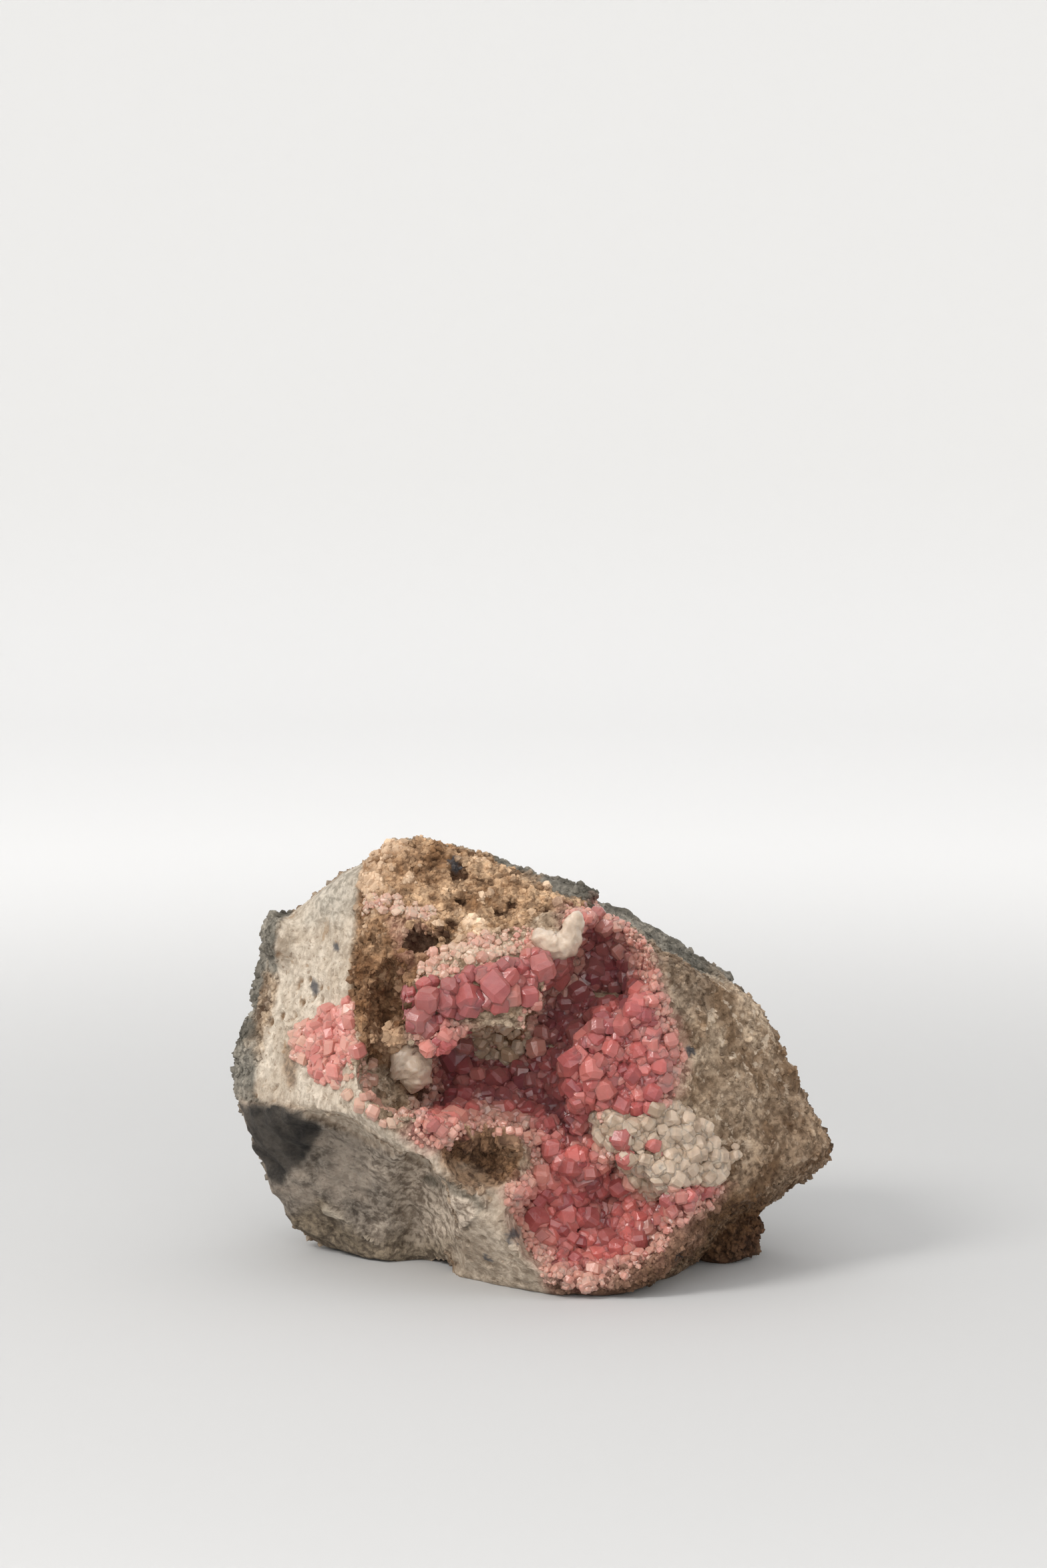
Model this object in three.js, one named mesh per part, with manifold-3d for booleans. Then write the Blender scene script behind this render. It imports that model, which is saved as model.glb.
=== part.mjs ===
// A hand specimen of rhodochrosite: a blocky broken piece of host rock with an open vug,
// lined with rhodochrosite crystals and a few white calcite growths.
// Millimetres. X runs to the right, Y to the back and Z up; the vug opens towards -Y.
import * as THREE from 'three';
import { mergeVertices } from 'three/addons/utils/BufferGeometryUtils.js';
import { ConvexGeometry } from 'three/addons/geometries/ConvexGeometry.js';
import Module from 'manifold-3d';

// ---- driving dimensions ----
const growthGap = 0.3;          // clearance between a growth and the rock or growth beside it
const crustThickness = 0.9;     // skin of small crystals that carries the larger ones
const cleavageSquash = 0.668;   // a cube flattened this much along its diagonal is the rhomb
const hollowSegments = 12;      // round a hollow; half as many from pole to pole
const crustSegments = 9;        // the same, on the open side of a crust
const lumpSegments = 6;         // round one grain of calcite
const lobeSegments = 9;         // round a lobe of a calcite nodule
const simplifyWithin = 0.25;    // a growth keeps its surface within this of the exact join
const lowestGrowth = 1.6;       // growths keep this far above the surface the rock stands on
const slab = { width: 200, depth: 40 };                         // block that trims undersides
const grainVariety = { jitter: 0.7, smallest: 0.75, largest: 1.25, lean: 1.2 };
const grainSunk = 0.2;          // share of its size that a crystal's middle stands off the rock
const patchFill = 0.8;          // share of a patch, by area, that carries crystals
const dropFrom = -60;           // Y of the plane in front that crystals are dropped from
const firstSeed = 11;           // each growth's random draws start from its own seed

// The broken faces of the block: outward normal, and a point on the face.
const brokenFaces = {
  vugFront: { normal: [0.10, -1.00, 0.12], point: [5, -25, 28] },
  crustFront: { normal: [0.02, -0.72, 0.70], point: [-5, -19, 51] },
  creamSide: { normal: [-0.72, -0.62, 0.30], point: [-30, -12, 43] },
  rindUpper: { normal: [-0.976, 0.05, 0.217], point: [-44.6, 8, 33] },
  rindLower: { normal: [-0.946, 0.02, -0.324], point: [-44.4, 4, 25] },
  topLeft: { normal: [-0.50, 0.10, 0.87], point: [-30, 3, 56] },
  top: { normal: [0.08, 0.10, 0.98], point: [-14, 0, 63.2] },
  topRight: { normal: [0.44, 0.0, 0.90], point: [3, 2, 56.2] },
  shoulder: { normal: [0.50, 0.10, 0.86], point: [22, 4, 47.2] },
  rightUpper: { normal: [0.81, 0.15, 0.59], point: [33, 4, 37.2] },
  rightLower: { normal: [0.905, 0.15, 0.426], point: [40.4, 2, 23.5] },
  rightFront: { normal: [0.60, -0.78, 0.16], point: [24, -20, 30] },
  rightUnder: { normal: [0.62, -0.05, -0.78], point: [34, -2, 4.8] },
  frontUnderRight: { normal: [0.62, -0.33, -0.71], point: [18.5, -16, 0] },
  lowCorner: { normal: [-0.55, -0.60, -0.58], point: [-7, -20, 3] },
  frontUnder: { normal: [-0.05, -0.80, -0.60], point: [6, -27, 1.5] },
  bottom: { normal: [0, 0, -1], point: [0, 0, 0] },
  back: { normal: [0.10, 1.00, 0.05], point: [0, 27, 30] },
  backLeft: { normal: [-0.60, 0.75, 0.25], point: [-30, 18, 38] },
  backRight: { normal: [0.70, 0.65, -0.10], point: [30, 16, 20] },
  backTop: { normal: [0.10, 0.70, 0.70], point: [0, 20, 50] },
  backUnder: { normal: [0.05, 0.70, -0.70], point: [0, 20, 7] },
  backLeftUnder: { normal: [-0.60, 0.50, -0.62], point: [-34, 14, 8] },
};

// Lumps that stand out of the block, as ellipsoids.
const lumps = {
  topLeftKnob: { centre: [-38.2, 0, 48.3], radii: [3.4, 6, 4.4] },
  rightKnob: { centre: [28, -1, 4.8], radii: [6, 6, 5.6] },
  crestLump: { centre: [3, 2, 54.6], radii: [7, 5, 2.8] },
};

// Shell-shaped breaks and the hollows that the block stands astride of.
const breaks = {
  leftScoop: { centre: [-38, -29, 2.4], radii: [27.5, 28, 26] },
  betweenScoop: { centre: [-25.5, -29, 0], radii: [9, 26.8, 23] },
  middleScoop: { centre: [-18, -29, 0], radii: [8.5, 27, 21.5] },
  underHollowFront: { centre: [-4, -2, -3], radii: [13, 13, 6] },
  underHollowBack: { centre: [6, 14, -4], radii: [18, 12, 6.5] },
};

// The vug: bowls that open into one another.
const vugBowls = {
  upperRight: { centre: [9.3, -19, 45.5], radii: [8, 14, 9] },
  middle: { centre: [-6, -19, 31], radii: [13.5, 13, 9.3] },
  link: { centre: [3.5, -16, 38.5], radii: [9, 10, 8] },
  rightShelf: { centre: [11.5, -27, 33], radii: [9, 6, 11] },
  lower: { centre: [9, -27, 11.8], radii: [12.5, 11, 9.6] },
  neck: { centre: [4.5, -27, 21.5], radii: [8, 8.5, 7.5] },
  leftHollow: { centre: [-19.5, -22, 32], radii: [6, 8, 6.5] },
  leftCleft: { centre: [-20.5, -20, 41], radii: [4, 5, 7] },
  brownPit: { centre: [-7.3, -28, 20.3], radii: [5.2, 7, 4] },
  upperNook: { centre: [-16.5, -17, 50], radii: [3, 4, 2.5] },
};

// Every growth on the rock: where its crust lies, and the size and spacing of its crystals.
const growths = {
  calcite_nodule_top: {
    finish: 'calcite',
    patches: [{ centre: [3.2, -22, 51.2], radii: [3.6, 5, 3.2] }],
    lobes: [
      { centre: [1.0, -22.0, 50.6], radii: [2.6, 2.6, 2.1] },
      { centre: [4.0, -22.0, 51.6], radii: [2.2, 2.6, 2.4] },
      { centre: [5.2, -20.8, 54.0], radii: [1.7, 2.4, 2.3] },
    ],
  },
  calcite_nodule_left: {
    finish: 'calcite',
    patches: [{ centre: [-18.2, -17, 32.5], radii: [3.2, 8, 4] }],
    lobes: [
      { centre: [-18.2, -17.5, 33.5], radii: [3.2, 4.6, 3.0] },
      { centre: [-17.6, -19.5, 31.6], radii: [2.4, 3.6, 3.4] },
    ],
  },
  calcite_cluster_deep: {
    finish: 'calcite',
    patches: [{ centre: [-5, -8, 35.3], radii: [5, 5, 3] }],
    grain: { size: 2.6, spacing: 2.6, shape: 'lump' },
  },
  calcite_cluster_right: {
    finish: 'calcite',
    patches: [
      { centre: [19, -24, 21.5], radii: [7.5, 7, 4.8] },
      { centre: [25.5, -21, 18.8], radii: [4.5, 5, 2.6] },
    ],
    grain: { size: 3.0, spacing: 3.0, shape: 'lump' },
  },
  rhodochrosite_ledge_crystals: {
    finish: 'rhodochrosite',
    patches: [
      { centre: [-9, -24, 43.6], radii: [9.5, 8, 4.2] },
      { centre: [1.2, -23, 46.2], radii: [4.5, 6, 2.8] },
    ],
    grain: { size: 4.2, spacing: 3.8, shape: 'rhomb' },
  },
  rhodochrosite_left_patch: {
    finish: 'palePink',
    patches: [{ centre: [-30.5, -13, 35.4], radii: [4.4, 8, 7.2] }],
    grain: { size: 2.3, spacing: 2.6, shape: 'rhomb' },
  },
  rhodochrosite_crest_druse: {
    finish: 'palePink',
    patches: [{ centre: [-18, -14, 54.6], radii: [5.5, 6, 3.4] }],
    grain: { size: 1.3, spacing: 1.9, shape: 'rhomb' },
  },
  rhodochrosite_main_druse: {
    finish: 'rhodochrosite',
    patches: [
      { centre: [10.2, -19, 45.8], radii: [9.4, 15, 9.8] },
      { centre: [-4, -18, 30.5], radii: [15.5, 15, 10.6] },
      { centre: [12, -23, 33], radii: [10.6, 11, 13] },
      { centre: [4.5, -25, 22.5], radii: [9, 12, 9] },
      { centre: [9.5, -25, 12.4], radii: [14, 14, 10.8] },
    ],
    grain: { size: 4.4, spacing: 5.2, shape: 'rhomb' },
  },
};

const finishes = {
  rock: { color: 0x8a7c6b, roughness: 0.92, metalness: 0 },
  rhodochrosite: { color: 0xc6525c, roughness: 0.28, metalness: 0 },
  palePink: { color: 0xd99a97, roughness: 0.35, metalness: 0 },
  calcite: { color: 0xdcd6c8, roughness: 0.4, metalness: 0 },
};

const manifold = await Module();
manifold.setup();

// ---- solids ----
function solidFrom(geometry) {
  const plain = geometry.clone();
  plain.deleteAttribute('normal');
  plain.deleteAttribute('uv');
  const welded = mergeVertices(plain, 1e-4);
  return new manifold.Manifold(new manifold.Mesh({
    numProp: 3,
    vertProperties: new Float32Array(welded.attributes.position.array),
    triVerts: new Uint32Array(welded.index.array),
  }));
}

function geometryFrom(solid) {
  const shell = solid.getMesh();
  const geometry = new THREE.BufferGeometry();
  geometry.setAttribute('position', new THREE.BufferAttribute(shell.vertProperties, 3));
  geometry.setIndex(new THREE.BufferAttribute(shell.triVerts, 1));
  geometry.computeVertexNormals();
  return geometry;
}

function ellipsoid({ centre, radii }, grow = 0, segments = hollowSegments) {
  const geometry = new THREE.SphereGeometry(1, segments, Math.round(segments / 2));
  geometry.rotateX(Math.PI / 2);
  geometry.scale(...radii.map((radius) => radius + grow));
  geometry.translate(...centre);
  return solidFrom(geometry);
}

function joined(solids) {
  return manifold.Manifold.union(solids);
}

function largestBody(solid) {
  const bodies = solid.decompose();
  bodies.sort((a, b) => b.volume() - a.volume());
  return bodies[0];
}

// ---- host rock ----
// The block is the space behind all of its faces: its corners are the points where three
// faces meet and no other face cuts them off.
function blockCorners(grow) {
  const planes = Object.values(brokenFaces).map(({ normal, point }) => {
    const outward = new THREE.Vector3(...normal).normalize();
    return new THREE.Plane(outward, -outward.dot(new THREE.Vector3(...point)) - grow);
  });
  const corners = [];
  for (let i = 0; i < planes.length; i += 1) {
    for (let j = i + 1; j < planes.length; j += 1) {
      for (let k = j + 1; k < planes.length; k += 1) {
        const corner = meetingPoint(planes[i], planes[j], planes[k]);
        if (corner && planes.every((plane) => plane.distanceToPoint(corner) < 1e-5)) {
          corners.push(corner);
        }
      }
    }
  }
  return corners;
}

function meetingPoint(a, b, c) {
  const acrossBC = new THREE.Vector3().crossVectors(b.normal, c.normal);
  const acrossCA = new THREE.Vector3().crossVectors(c.normal, a.normal);
  const acrossAB = new THREE.Vector3().crossVectors(a.normal, b.normal);
  const spread = a.normal.dot(acrossBC);
  if (Math.abs(spread) < 1e-3) return null;
  return acrossBC.multiplyScalar(-a.constant)
    .addScaledVector(acrossCA, -b.constant)
    .addScaledVector(acrossAB, -c.constant)
    .divideScalar(spread);
}

function slabBelow(height) {
  const geometry = new THREE.BoxGeometry(slab.width, slab.width, slab.depth);
  geometry.translate(0, 0, height - slab.depth / 2);
  return solidFrom(geometry);
}

function makeRock(grow, segments = hollowSegments) {
  const block = solidFrom(new ConvexGeometry(blockCorners(grow)));
  const raised = Object.values(lumps).map((lump) => ellipsoid(lump, grow));
  const hollows = [...Object.values(breaks), ...Object.values(vugBowls)];
  return joined([block, ...raised])
    .subtract(joined(hollows.map((hollow) => ellipsoid(hollow, -grow, segments))))
    .subtract(slabBelow(-grow));
}

// ---- crystals ----
function seededRandom(seed) {
  let state = seed;
  return () => {
    state = (state + 0x6d2b79f5) | 0;
    let mixed = Math.imul(state ^ (state >>> 15), 1 | state);
    mixed = (mixed + Math.imul(mixed ^ (mixed >>> 7), 61 | mixed)) ^ mixed;
    return ((mixed ^ (mixed >>> 14)) >>> 0) / 4294967296;
  };
}

// A rhombohedron: a cube stood on its corner and flattened along that diagonal.
function rhomb(size) {
  const geometry = new THREE.BoxGeometry(size, size, size);
  geometry.applyQuaternion(new THREE.Quaternion().setFromUnitVectors(
    new THREE.Vector3(1, 1, 1).normalize(),
    new THREE.Vector3(0, 0, 1),
  ));
  geometry.scale(1, 1, cleavageSquash);
  return geometry;
}

function calciteLump(size) {
  return new THREE.SphereGeometry(size / 2, lumpSegments, Math.ceil(lumpSegments / 2));
}

// Sites lie on a jittered grid over each patch and are dropped onto the rock from the front.
function crystalSites(patches, grain, rockMesh, seed) {
  const { jitter, smallest, largest, lean } = grainVariety;
  const random = seededRandom(seed);
  const ray = new THREE.Raycaster();
  const sites = [];
  for (const { centre, radii } of patches) {
    for (let x = -radii[0]; x <= radii[0]; x += grain.spacing) {
      for (let z = -radii[2]; z <= radii[2]; z += grain.spacing) {
        const across = x + (random() - 0.5) * grain.spacing * jitter;
        const up = z + (random() - 0.5) * grain.spacing * jitter;
        const turn = new THREE.Euler(random() * lean, random() * lean, random() * Math.PI * 2);
        const size = grain.size * THREE.MathUtils.lerp(smallest, largest, random());
        const inPatch = (across / radii[0]) ** 2 + (up / radii[2]) ** 2 < patchFill;
        ray.set(
          new THREE.Vector3(centre[0] + across, dropFrom, centre[2] + up),
          new THREE.Vector3(0, 1, 0),
        );
        const [hit] = inPatch ? ray.intersectObject(rockMesh) : [];
        if (hit && hit.point.y < centre[1] + radii[1]) {
          sites.push({ point: hit.point, turn, size });
        }
      }
    }
  }
  return sites;
}

function crystalSolid({ point, turn, size }, shape, swell) {
  const geometry = shape === 'rhomb' ? rhomb(size + 2 * swell) : calciteLump(size + 2 * swell);
  geometry.applyQuaternion(new THREE.Quaternion().setFromEuler(turn));
  geometry.translate(point.x, point.y - size * grainSunk, point.z);
  return solidFrom(geometry);
}

// A growth is a thin crust over its patches, with its crystals standing in it.
function makeGrowth(growth, sites, swell) {
  const patches = joined(growth.patches.map((patch) => ellipsoid(patch, swell, crustSegments)));
  const depth = growthGap + crustThickness + swell;
  const crust = makeRock(depth, crustSegments).intersect(patches);
  const lobes = (growth.lobes ?? []).map((lobe) => ellipsoid(lobe, swell, lobeSegments));
  const crystals = sites.map((site) => crystalSolid(site, growth.grain.shape, swell));
  return joined([crust, ...lobes, ...crystals]);
}

function standIn(name, solid, finish) {
  const mesh = new THREE.Mesh(geometryFrom(solid), new THREE.MeshStandardMaterial(finishes[finish]));
  mesh.name = name;
  return mesh;
}

// ---- assembly ----
const group = new THREE.Group();
const rock = makeRock(0);
const rockMesh = standIn('host_rock', rock, 'rock');
group.add(rockMesh);

// Each growth is cut clear of the rock and of the growths made before it.
let taken = joined([makeRock(growthGap), slabBelow(lowestGrowth)]);
Object.entries(growths).forEach(([name, growth], index) => {
  const sites = growth.grain
    ? crystalSites(growth.patches, growth.grain, rockMesh, firstSeed + index)
    : [];
  const cut = makeGrowth(growth, sites, 0).subtract(taken);
  const solid = largestBody(cut.simplify(simplifyWithin));
  group.add(standIn(name, solid, growth.finish));
  taken = taken.add(makeGrowth(growth, sites, growthGap));
});

// The origin is the middle of the bottom of the specimen's box.
const box = new THREE.Box3().setFromObject(group);
const middle = box.getCenter(new THREE.Vector3());
group.position.set(-middle.x, -middle.y, -box.min.z);
group.updateMatrixWorld(true);

export default group;
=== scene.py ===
import math

import bmesh
import bpy
import numpy as np
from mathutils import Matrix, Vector


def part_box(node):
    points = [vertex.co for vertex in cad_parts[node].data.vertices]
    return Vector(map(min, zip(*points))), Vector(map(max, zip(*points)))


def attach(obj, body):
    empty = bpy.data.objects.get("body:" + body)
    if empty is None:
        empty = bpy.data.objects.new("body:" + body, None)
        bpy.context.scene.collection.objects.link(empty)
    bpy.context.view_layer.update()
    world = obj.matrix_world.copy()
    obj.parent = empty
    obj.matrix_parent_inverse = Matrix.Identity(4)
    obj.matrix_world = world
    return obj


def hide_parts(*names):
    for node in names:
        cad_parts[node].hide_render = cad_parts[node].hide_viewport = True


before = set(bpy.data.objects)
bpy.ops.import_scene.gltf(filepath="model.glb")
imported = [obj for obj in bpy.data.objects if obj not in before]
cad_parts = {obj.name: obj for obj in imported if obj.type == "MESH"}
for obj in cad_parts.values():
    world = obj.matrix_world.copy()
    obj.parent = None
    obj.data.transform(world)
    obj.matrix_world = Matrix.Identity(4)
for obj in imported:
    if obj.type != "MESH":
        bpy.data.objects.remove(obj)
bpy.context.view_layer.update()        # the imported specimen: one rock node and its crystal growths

mm = 0.001
lensTilt = math.radians(10)      # the lens looks down at the specimen by this much
tiltDepth = 27                   # places seen from the front are measured this far in front of the origin
print("stage: frame loaded,", len(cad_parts), "nodes")


def smoothStep(low, high, value):
    t = np.clip((value - low) / (high - low), 0.0, 1.0)
    return t * t * (3.0 - 2.0 * t)


def latticeHash(ix, iy, iz, seed):
    # mixes three whole numbers and a seed into one even number between 0 and 1
    h = (ix.astype(np.uint32) * np.uint32(374761393) + iy.astype(np.uint32) * np.uint32(668265263)
         + iz.astype(np.uint32) * np.uint32(2147483647) + np.uint32(seed) * np.uint32(1274126177))
    h = (h ^ (h >> np.uint32(13))) * np.uint32(1274126177)
    h = (h ^ (h >> np.uint32(16))) * np.uint32(2246822519)
    return (h ^ (h >> np.uint32(15))).astype(np.float64) / 4294967295.0


def gradientNoise(points, seed):
    # slopes drawn at the corners of unit cells, blended with a fifth-power fade
    cell = np.floor(points).astype(np.int64)
    inside = points - cell
    fade = inside ** 3 * (inside * (inside * 6 - 15) + 10)
    total = np.zeros(len(points))
    for corner in np.ndindex(2, 2, 2):
        ix, iy, iz = (cell + np.array(corner)).T
        slope = np.stack([latticeHash(ix, iy, iz, seed + k) * 2 - 1 for k in (0, 17, 31)], axis=1)
        weight = np.prod(np.where(np.array(corner) == 1, fade, 1 - fade), axis=1)
        total += weight * np.sum(slope * (inside - np.array(corner)), axis=1)
    return total


def fractalNoise(points, size, octaves, seed, gain=0.5):
    # gradient noise at size, half of it, a quarter of it, and so on, each weaker by gain
    total = np.zeros(len(points))
    for octave in range(octaves):
        shifted = points / size * 2.0 ** octave + 13.7 * octave
        total += gain ** octave * gradientNoise(shifted, seed + octave)
    return total


def ridgeNoise(points, size, octaves, seed):
    # the fold of gradient noise about zero gives sharp crests: about 1 on a crest, 0 away from it
    total = np.zeros(len(points))
    for octave in range(octaves):
        shifted = points / size * 2.0 ** octave + 7.1 * octave
        total += 0.55 ** octave * (1.0 - 2.0 * np.abs(gradientNoise(shifted, seed + octave)))
    return total / 1.8


def pitNoise(points, size, seed):
    # distance to the nearest of one jittered point per cell, in cell sizes
    scaled = points / size
    cell = np.floor(scaled).astype(np.int64)
    nearest = np.full(len(points), 9.0)
    for step in np.ndindex(3, 3, 3):
        ix, iy, iz = (cell + np.array(step) - 1).T
        spot = np.stack([latticeHash(ix, iy, iz, seed + k) for k in (0, 17, 31)], axis=1)
        gap = cell + np.array(step) - 1 + spot - scaled
        nearest = np.minimum(nearest, np.sqrt(np.sum(gap ** 2, axis=1)))
    return nearest


def meshObject(name, points, quads, triangles=None, flat=False):
    triangles = np.zeros((0, 3), int) if triangles is None else triangles
    loops = np.concatenate([quads.ravel(), triangles.ravel()]).astype(np.int32)
    sizes = np.concatenate([np.full(len(quads), 4), np.full(len(triangles), 3)])
    starts = np.concatenate([[0], np.cumsum(sizes)[:-1]]).astype(np.int32)
    mesh = bpy.data.meshes.new(name)
    mesh.vertices.add(len(points))
    mesh.vertices.foreach_set("co", np.ascontiguousarray(points, np.float32).ravel())
    mesh.loops.add(len(loops))
    mesh.loops.foreach_set("vertex_index", loops)
    mesh.polygons.add(len(sizes))
    mesh.polygons.foreach_set("loop_start", starts)
    mesh.polygons.foreach_set("use_smooth", np.full(len(sizes), not flat))
    mesh.update(calc_edges=True)
    mesh.validate()
    made = bpy.data.objects.new(name, mesh)
    bpy.context.scene.collection.objects.link(made)
    return made


def meshPoints(made):
    points = np.zeros(len(made.data.vertices) * 3, np.float32)
    made.data.vertices.foreach_get("co", points)
    return points.reshape(-1, 3).astype(np.float64)


def meshNormals(made):
    normals = np.zeros(len(made.data.vertices) * 3, np.float32)
    made.data.vertex_normals.foreach_get("vector", normals)
    return normals.reshape(-1, 3).astype(np.float64)


def movePoints(made, points):
    made.data.vertices.foreach_set("co", np.ascontiguousarray(points, np.float32).ravel())
    made.data.update()


def paint(made, layers):
    for name, values in layers.items():
        layer = made.data.attributes.new(name, "FLOAT", "POINT")
        layer.data.foreach_set("value", np.ascontiguousarray(values, np.float32))


def applyModifiers(made):
    graph = bpy.context.evaluated_depsgraph_get()
    finished = bpy.data.meshes.new_from_object(made.evaluated_get(graph))
    made.modifiers.clear()
    made.data = finished


def ringQuads(rowCount, around):
    # quads between neighbouring rings of points, all with the same count around
    here = np.arange(around)
    beside = (here + 1) % around
    rows = (np.arange(rowCount - 1) * around)[:, None]
    return np.stack([rows + here, rows + beside, rows + around + beside, rows + around + here],
                    axis=-1).reshape(-1, 4)


def directionGrid(around, along):
    # unit directions on circles of latitude, with one point at each pole
    turn = np.linspace(0, 2 * np.pi, around, endpoint=False)
    drop = np.linspace(0, np.pi, along)[1:-1]
    turnGrid, dropGrid = np.meshgrid(turn, drop)
    rings = np.stack([np.sin(dropGrid) * np.cos(turnGrid), np.sin(dropGrid) * np.sin(turnGrid),
                      np.cos(dropGrid)], axis=-1).reshape(-1, 3)
    directions = np.vstack([rings, [0, 0, 1], [0, 0, -1]])
    here = np.arange(around)
    beside = (here + 1) % around
    quads = ringQuads(len(drop), around)[:, [0, 3, 2, 1]]
    top, last = len(rings), (len(drop) - 1) * around
    caps = np.vstack([np.stack([np.full(around, top), here, beside], axis=-1),
                      np.stack([np.full(around, top + 1), last + beside, last + here], axis=-1)])
    return directions, quads, caps


def finishPiece(made, node, material):
    made.data.materials.clear()
    made.data.materials.append(material)
    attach(made, "root")
    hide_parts(node)
    return made


def seenFromFront(points):
    # across and up as the tilted lens sees them: up = height turned by the tilt
    up = points[:, 2] * math.cos(lensTilt) + (points[:, 1] + tiltDepth) * math.sin(lensTilt)
    return np.stack([points[:, 0], up], axis=1)


def facesFront(normals):
    # cosine between a normal and the line to the lens
    return normals[:, 2] * math.sin(lensTilt) - normals[:, 1] * math.cos(lensTilt)


def awayFrom(spots, across, up):
    return np.hypot(spots[:, 0] - across, spots[:, 1] - up)


def lineDistance(spots, line):
    # distance to an open line of points
    nearest = np.full(len(spots), 1e9)
    for start, end in zip(np.array(line[:-1], float), np.array(line[1:], float)):
        edge = end - start
        along = np.clip(((spots - start) @ edge) / (edge @ edge), 0, 1)
        nearest = np.minimum(nearest, np.linalg.norm(spots - start - along[:, None] * edge, axis=1))
    return nearest


def outlineDistance(spots, outline):
    # distance to the nearest edge of a closed outline, negative inside it
    corners = np.array(outline, float)
    nearest = lineDistance(spots, [*outline, outline[0]])
    inside = np.zeros(len(spots), bool)
    for start, end in zip(corners, np.roll(corners, -1, axis=0)):
        crosses = (start[1] > spots[:, 1]) != (end[1] > spots[:, 1])
        slope = (end[0] - start[0]) / (end[1] - start[1] + 1e-9)
        inside ^= crosses & (spots[:, 0] < start[0] + (spots[:, 1] - start[1]) * slope)
    return np.where(inside, -nearest, nearest)


def newMaterial(name):
    material = bpy.data.materials.new(name)
    material.use_nodes = True
    tree = material.node_tree
    return material, tree, tree.nodes["Principled BSDF"]


def connect(tree, socket, value):
    if isinstance(value, bpy.types.NodeSocket):
        tree.links.new(value, socket)
    else:
        socket.default_value = (*value, 1) if socket.type == "RGBA" else value


def addNode(tree, kind, inputs=None, **settings):
    node = tree.nodes.new(kind)
    for key, value in settings.items():
        setattr(node, key, value)
    for key, value in (inputs or {}).items():
        connect(tree, node.inputs[key], value)
    return node


def mixColour(tree, amount, first, second, blend="MIX"):
    node = addNode(tree, "ShaderNodeMix", data_type="RGBA", blend_type=blend)
    for socket, value in ((0, amount), (6, first), (7, second)):
        connect(tree, node.inputs[socket], value)
    return node.outputs[2]


def maths(tree, operation, first, second=0.5):
    return addNode(tree, "ShaderNodeMath", {0: first, 1: second}, operation=operation).outputs[0]


def attribute(tree, name):
    return addNode(tree, "ShaderNodeAttribute", attribute_name=name).outputs["Fac"]


def ramp(tree, value, low, high):
    return addNode(tree, "ShaderNodeMapRange", {"Value": value, "From Min": low, "From Max": high},
                   interpolation_type="SMOOTHSTEP").outputs["Result"]


def newGroup(name, inputs, output):
    # a shader node group that puts out one value, from named numbers and the object's own coordinates
    group = bpy.data.node_groups.new(name, "ShaderNodeTree")
    for label, start in inputs.items():
        kind = "NodeSocketFloat" if isinstance(start, float) else "NodeSocketVector"
        group.interface.new_socket(label, in_out="INPUT", socket_type=kind).default_value = start
    group.interface.new_socket(output, in_out="OUTPUT", socket_type="NodeSocketFloat")
    given, out = group.nodes.new("NodeGroupInput").outputs, group.nodes.new("NodeGroupOutput").inputs[output]
    return group, given, out, addNode(group, "ShaderNodeTexCoord").outputs["Object"]


def noiseAt(group, place, size, detail, roughness, distortion=0.0):
    return addNode(group, "ShaderNodeTexNoise", {
        "Vector": place, "Scale": maths(group, "DIVIDE", 1.0, size), "Detail": detail,
        "Roughness": roughness, "Distortion": distortion}).outputs["Fac"]


def mottleGroup():
    # cloud noise of a given size, cut to a mask that runs from 0 at Low to 1 at High
    group, given, out, place = newGroup(
        "mineralMottle", {"Size": 0.005, "Detail": 4.0, "Low": 0.35, "High": 0.65}, "Mask")
    noise = noiseAt(group, place, given["Size"], given["Detail"], 0.62, 0.3)
    group.links.new(ramp(group, noise, given["Low"], given["High"]), out)
    return group


def streakGroup():
    # noise drawn out along one direction, for torn and layered stone
    group, given, out, place = newGroup(
        "stoneStreaks", {"Turn": (0, 0, 0), "Width": 0.0006, "Low": 0.40, "High": 0.60}, "Mask")
    turned = addNode(group, "ShaderNodeMapping", {
        "Vector": place, "Rotation": given["Turn"], "Scale": (1, 1, 0.14)}).outputs["Vector"]
    noise = noiseAt(group, turned, given["Width"], 3.0, 0.6, 0.2)
    group.links.new(ramp(group, noise, given["Low"], given["High"]), out)
    return group


def grainGroup():
    # height of a gritty surface: coarse noise and fine noise in a given share
    group, given, out, place = newGroup(
        "grainRelief", {"Coarse": 0.001, "Fine": 0.0003, "Fine Share": 0.35}, "Height")
    coarse, fine = (noiseAt(group, place, given[label], 3.0, 0.65) for label in ("Coarse", "Fine"))
    blend = addNode(group, "ShaderNodeMix", {0: given["Fine Share"], 2: coarse, 3: fine})
    group.links.new(blend.outputs[0], out)
    return group


groups = {"mottle": mottleGroup(), "streaks": streakGroup(), "grain": grainGroup()}


def placeGroup(tree, name, **inputs):
    return addNode(tree, "ShaderNodeGroup", inputs, node_tree=groups[name]).outputs[0]


def stoneBump(tree, shader, coarse, fine, strength, distance):
    height = placeGroup(tree, "grain", Coarse=coarse, Fine=fine)
    bump = addNode(tree, "ShaderNodeBump", {"Height": height, "Strength": strength, "Distance": distance})
    tree.links.new(bump.outputs["Normal"], shader.inputs["Normal"])


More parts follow.
